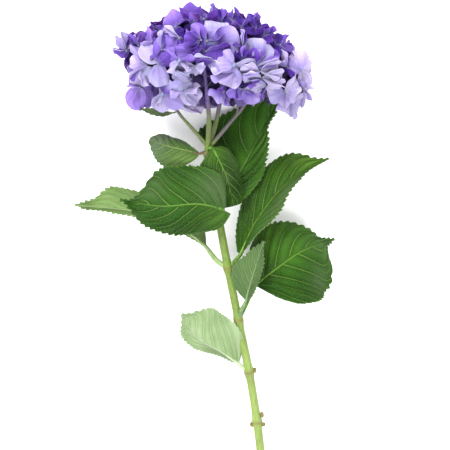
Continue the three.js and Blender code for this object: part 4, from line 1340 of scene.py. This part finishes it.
def place_tint(point, draw):
    """A floret's tint by its place: deep violet above, partly its own colour and partly painted shade, lilac
    below, palest at the right.
    """
    local = HEAD_TURN.T @ (point - HEAD_AT)
    high = smoothstep(local[1], -10, 45)
    right = smoothstep(local[0], 35, 80)
    base = mixed(srgb(*TINTS["lilac"]), srgb(*TINTS["violet"]), smoothstep(local[1], -35, 10))
    base = mixed(base, srgb(*TINTS["deep"]), high * 0.85)
    base = mixed(base, srgb(*TINTS["pale"]), right * 0.75 * (1 - 0.6 * high))
    return varied(base, draw, 0.12)


def floret_axes(facing):
    guide = np.array([0.0, 0.0, 1.0]) if abs(facing[2]) < 0.9 else np.array([1.0, 0, 0])
    first = unit(np.cross(guide, facing))
    return first, np.cross(unit(facing), first)


def round_look(cup, tint, draw):
    return {
        "bend": cup * draw.uniform(0.7, 1.3),
        "cup": draw.uniform(-2.2, 1.8),
        "twist": draw.uniform(-4, 4),
        "painted_side_light": draw.uniform(-0.15, 0.15),
        "ruffle": draw.uniform(0.6, 1.3),
        "waves": draw.choice(WAVE_COUNTS),
        "pleat": 0.4,
        "pleats": draw.uniform(4, 8),
        "tint": varied(tint, draw, 0.07),
    }


def round_floret(piece, pedicels, at, facing, spin, radius, cup, tint, draw, fineness):
    """A floret of four sepals, two over two, with its bead and pedicel."""
    facing = unit(facing)
    first, second = floret_axes(facing)
    for k in range(4):
        angle = spin + k * math.pi / 2 + draw.uniform(-0.12, 0.12)
        out = math.cos(angle) * first + math.sin(angle) * second
        side = -math.sin(angle) * first + math.cos(angle) * second
        reach = radius * draw.uniform(0.9, 1.08)
        foot = at + out * FOOT_REACH + facing * OVERLAP * (k % 2)
        tip = foot + out * reach + facing * draw.uniform(-1.5, 1.5)
        look = round_look(cup, tint, draw)
        tilt = draw.uniform(-0.25, 0.25)
        side = unit(side * math.cos(tilt) + facing * math.sin(tilt))
        sepal(piece, foot, tip, side, radius * draw.uniform(0.98, 1.16), look, draw, fineness)
    bead(piece, at, facing, BEAD_RADIUS)
    add_pedicel(pedicels, at, facing)


# Florets that the camera sees: their place in the picture, how far they stand out, their tint and
# their bead's radius; then each sepal's tip, the width that shows and, where they differ, its own
# tint or the tints of its foot and tip
# The tints are partly painted light and shade: dark sepals paint the shadow between florets and light ones
# brighten sepals seen edge-on
SEEN_FLORETS = [
    ((127, 51), -6, "lilac", 0.9, [
        (115, 38, 7), (125, 32, 8, "pale"), (133, 34, 8), (116, 48, 5, "pale"), (116, 55, 9, "violet"),
    ]),
    ((139, 46), -3, "violet", 0.9, [
        (143, 31, 10, "bright"), (149, 34, 9), (131, 45, 8, "deep"), (134, 35, 7),
    ]),
    ((152, 42), 3, "bright", 0.8, [
        (144, 32, 11), (159, 33, 9, "violet"), (145, 48, 10, "lilac"), (160, 48, 9, "violet"),
    ]),
    ((160, 31), -8, "violet", 0.8, [
        (153, 29, 8, "dark"), (157, 24, 9), (164, 22, 9, "deep"), (151, 34, 8, "deep"),
    ]),
    ((176, 27), 0, "violet", 1.0, [
        (170, 12, 19, "violet bright"), (163, 25, 16), (180, 15, 12, "violet"), (176, 38, 13, "deep"),
    ]),
    ((194, 21), 3, "deep", 0.9, [
        (188, 2, 19, "deep violet"), (201, 8, 17, "deep violet"), (182, 20, 10), (189, 31, 11, "dark"),
    ]),
    ((204, 19), 5, "violet", 0.9, [
        (190, 23, 14, "deep violet"), (218, 20, 11, "deep"), (204, 29, 15, "deep violet"),
    ]),
    ((215, 17), -3, "bright", 0.9, [
        (209, 9, 11, "violet bright"), (219, 8, 11, "bright violet"), (229, 13, 11, "violet"),
        (206, 15, 10, "violet"),
    ]),
    ((232, 20), -3, "deep", 0, [
        (228, 14, 13, "violet"), (240, 16, 12, "deep violet"), (244, 23, 13), (222, 22, 12),
    ]),
    ((241, 28), -1, "deep", 0.8, [
        (230, 26, 6, "violet"), (236, 33, 9, "dark"), (253, 28, 11), (250, 23, 9, "violet"),
    ]),
    ((252, 24), -2, "deep", 0, [
        (249, 17, 11, "violet bright"), (259, 20, 11, "deep violet"), (262, 28, 12), (243, 26, 10, "dark"),
    ]),
    ((265, 35), 1, "deep", 0, [
        (266, 28, 12, "deep violet"), (274, 35, 11, "deep violet"), (254, 33, 13), (266, 44, 13),
    ]),
    ((280, 45), -1, "deep", 0.8, [
        (280, 38, 11, "violet"), (288, 42, 11, "violet bright"), (294, 49, 11, "violet"), (272, 50, 12),
    ]),
    ((213, 43), 10, "violet", 0, [
        (211, 19, 30, "violet pale"), (240, 40, 27, "deep lilac"), (183, 40, 19, "dark violet"),
        (210, 60, 33, "deep violet"),
    ]),
    ((207, 41), 11, "bright", 0, [
        (189, 28, 15, "violet bright"), (194, 47, 12, "deep violet"), (222, 29, 12, "violet lilac"),
    ]),
    ((201, 40), 11, "deep", 0, [
        (186, 34, 7, "violet"), (184, 42, 8, "deep violet"), (193, 30, 7, "bright"), (190, 48, 7),
    ]),
    ((206, 51), 9, "violet", 0, [
        (175, 54, 15, "deep bright"), (231, 51, 10, "violet deep"),
    ]),
    ((214, 61), 7, "pale", 0, [
        (193, 59, 7), (212, 74, 9, "lilac"), (198, 65, 6, "violet"),
    ]),
    ((180, 61), 11, "lilac", 1.9, [
        (166, 56, 8, "bright"), (194, 62, 7, "bright"), (192, 69, 7, "light"), (167, 67, 11, "pale"),
    ]),
    ((195, 66), 4, "lilac", 0, [
        (172, 69, 10, "pale"), (203, 71, 11, "pale"), (190, 76, 9, "grey"), (205, 62, 6, "violet"),
    ]),
    ((158, 64), 8, "lilac", 0.8, [
        (147, 41, 22, "pale pale"), (171, 36, 21, "violet bright"), (160, 87, 17, "lilac grey"),
        (177, 57, 11, "violet"),
    ]),
    ((162, 50), 6, "deep", 0.8, [
        (157, 37, 11, "violet deep"), (165, 33, 9, "lilac pale"), (172, 44, 10, "bright"),
        (152, 53, 8, "violet"),
    ]),
    ((179, 38), 5, "lilac", 0, [
        (164, 31, 9, "pale"), (172, 31, 8, "lilac"), (184, 46, 9, "violet"),
    ]),
    ((147, 65), 4, "lilac", 1.0, [
        (131, 55, 19, "lilac light"), (136, 43, 12, "lilac"), (134, 82, 15, "lilac light"),
        (150, 78, 10, "grey"),
    ]),
    ((141, 69), 2, "vivid", 0.8, [
        (136, 88, 16, "vivid pale"), (131, 75, 9, "violet"), (149, 85, 10, "pale"),
    ]),
    ((140, 87), 1, "vivid", 0.9, [
        (131, 109, 19), (156, 105, 20, "vivid bright"), (143, 108, 14, "vivid"), (133, 84, 7),
    ]),
    ((163, 94), 7, "grey", 2.0, [
        (168, 110, 27, "grey pale"), (155, 98, 14, "pale"), (167, 79, 13, "violet grey"),
        (184, 104, 18, "lilac"),
    ]),
    ((184, 91), 4, "grey", 0, [
        (202, 99, 16, "grey pale"), (192, 106, 15, "pale"), (180, 77, 19, "grey lilac"),
        (171, 89, 12, "lilac"), (198, 87, 10, "pale"),
    ]),
    ((182, 104), 1, "light", 0, [
        (203, 107, 13), (190, 112, 14),
    ]),
    ((190, 81), 6, "grey", 0, [
        (170, 75, 9), (178, 70, 7),
    ]),
    ((234, 65), 11.5, "pale", 2.0, [
        (220, 54, 15, "lilac"), (210, 65, 13, "lilac pale"), (225, 88, 22, "lilac pale"),
        (252, 66, 8, "pale"),
    ]),
    ((236, 70), 7, "lilac", 0, [
        (240, 80, 9, "lilac pale"), (212, 78, 12, "lilac"),
    ]),
    ((238, 86), 3, "dark", 0, [
        (230, 83, 11), (244, 90, 9), (240, 80, 7), (234, 93, 8, "deep"),
    ]),
    ((242, 61), 8, "deep", 0, [
        (240, 51, 12), (248, 50, 10, "violet bright"), (233, 57, 8), (252, 61, 6),
    ]),
    ((243, 48), 5, "deep", 0, [
        (240, 32, 5, "lilac"), (246, 33, 5, "lilac"), (243, 35, 6), (237, 43, 6, "violet"),
    ]),
    ((256, 67), 8, "violet", 1.3, [
        (249, 49, 12, "deep violet"), (262, 52, 13, "grey lilac"), (275, 57, 14, "violet bright"),
        (277, 67, 10, "pale"),
    ]),
    ((258, 62), 4, "lilac", 0, [
        (250, 38, 21, "violet pale"), (266, 40, 21, "lilac pale"), (276, 49, 13, "bright violet"),
    ]),
    ((260, 71), 10, "lilac", 0, [
        (240, 70, 8, "light"), (280, 66, 11, "pale light"), (277, 74, 9, "light"), (244, 76, 8, "lilac"),
    ]),
    ((262, 78), 9, "lilac", 0, [
        (243, 79, 8, "light"), (283, 75, 10, "light"), (284, 82, 10, "pale light"), (247, 84, 6, "violet"),
    ]),
    ((266, 86), 8, "lilac", 0, [
        (246, 83, 7, "lilac"), (284, 87, 11, "light"), (250, 89, 6, "light"), (262, 92, 6, "violet"),
    ]),
    ((243, 89), 6, "grey", 0, [
        (262, 98, 19, "bright lilac"), (246, 104, 15, "violet lilac"), (231, 97, 14, "bright"),
        (257, 90, 8, "pale"),
    ]),
    ((224, 92), 0, "grey", 0, [
        (212, 98, 13, "violet lilac"), (219, 101, 13, "violet pale"), (232, 100, 13, "violet lilac"),
        (224, 84, 9, "violet"),
    ]),
    ((301, 71), 4, "light", 0, [
        (294, 50, 20, "lilac light"), (312, 66, 15), (309, 92, 16), (288, 64, 9, "lilac"),
    ]),
    ((286, 66), 3, "lilac", 0, [
        (280, 50, 7, "pale"), (289, 53, 7, "violet"), (279, 63, 9), (288, 76, 9, "deep"),
    ]),
    ((284, 91), 6, "pale", 0, [
        (268, 96, 17, "lilac pale"), (299, 80, 11, "light"), (301, 95, 17, "lilac light"),
        (281, 105, 13, "lilac light"),
    ]),
    ((291, 100), 4, "lilac", 0, [
        (281, 112, 12, "bright light"), (289, 117, 11, "light"), (299, 113, 15, "lilac light"),
        (304, 100, 9, "light"),
    ]),
    ((303, 88), 3, "light", 0, [
        (309, 86, 9), (305, 99, 11, "lilac"), (296, 81, 7, "lilac"), (299, 104, 8),
    ]),
    ((256, 32), -6, "deep", 0, [
        (243, 18, 15), (255, 17, 14), (265, 24, 15), (269, 33, 14),
    ]),
    ((276, 48), -6, "deep", 0, [
        (274, 34, 15), (284, 38, 14), (293, 45, 14),
    ]),
    ((222, 24), -6, "deep", 0, [
        (213, 11, 14, "violet"), (226, 12, 14), (236, 15, 14),
    ]),
]
# A sepal that shows less than this of its width is rolled to the side
PLAIN_WIDTH = 17
SEEN_FINENESS = (7, 32)
# The head's middle, from which the seen florets look outwards
GROWN_FROM = HEAD_AT + [0, -6, -10]


def seen_look(open_share, painted_side_light, tints, draw):
    """The form of a seen sepal, which is plainer the less of it shows."""
    foot, tip = tints.split()[0], tints.split()[-1]
    return {
        "bend": draw.uniform(-5, 1) * open_share,
        "cup": draw.uniform(-2.8, 1.0) * open_share,
        "twist": draw.uniform(-5, 5) * open_share,
        "painted_side_light": painted_side_light,
        "ruffle": draw.uniform(0.9, 2.0) * open_share,
        "waves": draw.choice(WAVE_COUNTS),
        "pleat": draw.uniform(0.5, 1.0),
        "pleats": draw.uniform(4, 9),
        "tint": varied(foot, draw, 0.06),
        "tip_tint": varied(tip, draw, 0.06),
    }


def rolled_side(axis, shown_share, way):
    """The way across a sepal that is rolled until only that share of its width shows."""
    roll = math.acos(shown_share) * way
    side = unit(np.cross([0, 0, 1.0], axis))
    return side * math.cos(roll) + np.cross(axis, side) * math.sin(roll)


def seen_tip(centre, start, end, lift, draw):
    """Where a sepal ends, which is seen to reach from one place in the picture to another."""
    high = on_dome(*end, lift * 0.6 + draw.uniform(-1.5, 1.5))[2]
    flat = math.dist(start, end)
    rise = max(min(high - centre[2], 0.55 * flat), -1.1 * flat)
    return scene_point(*end, centre[2] + rise)


def add_seen_florets(piece, pedicels):
    draw = random.Random(11)
    for start, lift, tint, heart, sepals in SEEN_FLORETS:
        centre = on_dome(*start, lift)
        out = unit(centre - GROWN_FROM)
        facing = unit(out + [0, 0, 0.5])
        toward_camera = smoothstep(out[2], 0.25, 0.75)
        for k, (tip_x, tip_y, shows, *own) in enumerate(sepals):
            tip = seen_tip(centre, start, (tip_x, tip_y), lift, draw)
            axis = unit(tip - centre)
            foot = centre + axis * FOOT_REACH + facing * SEEN_OVERLAP * (k % 2)
            wide = max(shows, PLAIN_WIDTH)
            side = rolled_side(axis, shows / wide, 1 if k % 2 else -1)
            open_share = (shows / wide) ** 0.7 * (0.35 + 0.65 * toward_camera)
            # The side of the sepal that faces up the picture gets painted light and the other side painted
            # shade
            look = seen_look(open_share, 0.22 * side[1], own[0] if own else tint, draw)
            sepal(piece, foot, tip, side, wide, look, draw, SEEN_FINENESS)
        if heart:
            bead(piece, centre, facing, heart)
        add_pedicel(pedicels, centre, facing)


def seeded(state):
    """An endless row of even numbers between 0 and 1, the same for the same start."""
    while True:
        state = (state * 1664525 + 1013904223) % 2**32
        yield state / 2**32


# The florets that lie pressed on the table: place and turn in degrees
PRESSED_FLORETS = [([-14, 163, 0.2], 20), ([25, 164, 0.2], 50), ([6, 134, 0.2], 5)]
# Deep florets, darkened with painted shade, that close the back of the middle ray's hollow and the gaps
# beside it
HOLLOW_FLORETS = [
    ([5, 165, 106], [0, -0.87, 0.5]),
    ([-12, 166, 102], [0.3, -0.8, 0.5]),
    ([28, 152, 112], [0, 0.9, 0.4]),
    ([58, 152, 103], [0.3, 0.85, 0.4]),
]
# The half width, top and floor of the hollow in front that the middle ray grows up through
HOLLOW = (20, 148, 78)
DEEP_HOLLOW = (17, 152, 84)
# Above this height florets of the dome keep away from those that the camera sees
LOWEST_SEEN = 72
SEEN_SPACING, PRESSED_SPACING = 26, 18
# The deeper layer: its size beside the dome's, its florets' radius and the lowest of them
DEEP_SHARE = 0.8
DEEP_RADIUS = 17.5
LOWEST_DEEP = 12
# How far the deeper florets' tint is darkened: painted shade in the gaps between the outer florets
PAINTED_SHADE_SHARE = 0.65
DEEP_FINENESS = (3, 14)
DOME_FINENESS = (4, 20)


# A tint darkened with painted shade, for florets that lie deep between others
def painted_shade_tint(tint):
    return mixed(tint, srgb(*TINTS["dark"]), PAINTED_SHADE_SHARE)


def in_hollow(at, half, top, floor):
    return abs(at[0] - 1) < half and at[1] < top and at[2] > floor


def near_any(at, places, distance):
    return np.min(np.linalg.norm(np.array(places) - at, axis=1)) < distance


def add_dome_florets(piece, inner, pedicels):
    """The florets all round the dome, and a deeper layer darkened with painted shade that closes the gaps
    between them.
    """
    number = seeded(20)
    draw = random.Random(5)
    seen = [on_dome(*start, lift) for start, lift, *_ in SEEN_FLORETS]
    pressed = [at for at, _ in PRESSED_FLORETS]
    for i, angle in enumerate(even_angles(FLORET_COUNT)):
        turn = i * GOLDEN_ANGLE + 0.35 * (next(number) - 0.5)
        lift = 0.97 + 0.045 * (i % 3) + 0.02 * (next(number) - 0.5)
        local = dome_point(angle, turn, lift)
        facing = unit(local / np.array([1, ABOVE / HALF_WIDTH, 1]))
        wobble = np.array([next(number) - 0.5 for _ in range(3)])
        facing = HEAD_TURN @ unit(facing + 0.6 * wobble)
        spin = next(number) * math.pi
        radius = 18.5 + 2 * (next(number) - 0.5)
        cup = 5 * (next(number) - 0.35)
        at = HEAD_TURN @ local + HEAD_AT
        in_view = at[2] > LOWEST_SEEN and near_any(at, seen, SEEN_SPACING)
        if not (in_hollow(at, *HOLLOW) or in_view or near_any(at, pressed, PRESSED_SPACING)):
            tint = place_tint(at, draw)
            at = drawn_in(at, facing, spin, radius)
            size = radius * 1.02
            round_floret(piece, pedicels, at, facing, spin, size, cup, tint, draw, DOME_FINENESS)
        deep = HEAD_TURN @ (local * DEEP_SHARE) + HEAD_AT
        if deep[2] > LOWEST_DEEP and not in_hollow(deep, *DEEP_HOLLOW):
            tint = painted_shade_tint(place_tint(deep, draw))
            turned = spin + 0.7
            deep = drawn_in(deep, facing, turned, DEEP_RADIUS)
            form = (turned, DEEP_RADIUS, cup, tint, draw, DEEP_FINENESS)
            round_floret(inner, pedicels, deep, facing, *form)


def add_hollow_florets(piece, pedicels):
    draw = random.Random(4)
    tint = painted_shade_tint(srgb(*TINTS["violet"]))
    for at, facing in HOLLOW_FLORETS:
        round_floret(piece, pedicels, np.array(at), facing, 0.4, 15, 1, tint, draw, DEEP_FINENESS)


def add_pressed_florets(piece, pedicels):
    draw = random.Random(9)
    facing = np.array([0, 0, -1.0])
    for at, turn in PRESSED_FLORETS:
        at = np.array(at, float)
        look = {**FLAT_LOOK, "tint": varied("lilac", draw, 0.05)}
        for k in range(4):
            angle = math.radians(turn) + k * math.pi / 2
            out = np.array([math.cos(angle), math.sin(angle), 0])
            side = np.array([-math.sin(angle), math.cos(angle), 0])
            foot = at + out * 0.6 + [0, 0, 0.25 + 0.45 * (k % 2)]
            sepal(piece, foot, foot + out * 15.6, side, 16.5, look, draw, DOME_FINENESS)
        bead(piece, at + [0, 0, 2.6], facing, 1.2)
        add_pedicel(pedicels, at + [0, 0, 0.8], facing)


def add_bloom():
    petal = [petal_material(), bead_material()]
    seen, dome, inner = (Piece("bloom_" + name, petal, "petal") for name in ("seen", "dome", "inner"))
    pedicels = Piece("bloom_pedicels", [pedicel_material()], "stem")
    add_seen_florets(seen, pedicels)
    add_dome_florets(dome, inner, pedicels)
    add_hollow_florets(inner, pedicels)
    add_pressed_florets(dome, pedicels)
    add_branchlets(pedicels)
    for piece in (seen, dome, inner, pedicels):
        piece.make("bloom")


def add_all():
    add_camera()
    add_light()
    add_table()
    stem = Piece("stem_fine", [stem_material(), pith_material()], "stem")
    add_stem(stem)
    add_rays(stem)
    add_buds(stem)
    stem.make("stem")
    for number, leaf in enumerate(LEAVES):
        add_leaf(number, leaf)
    add_bloom()


add_all()
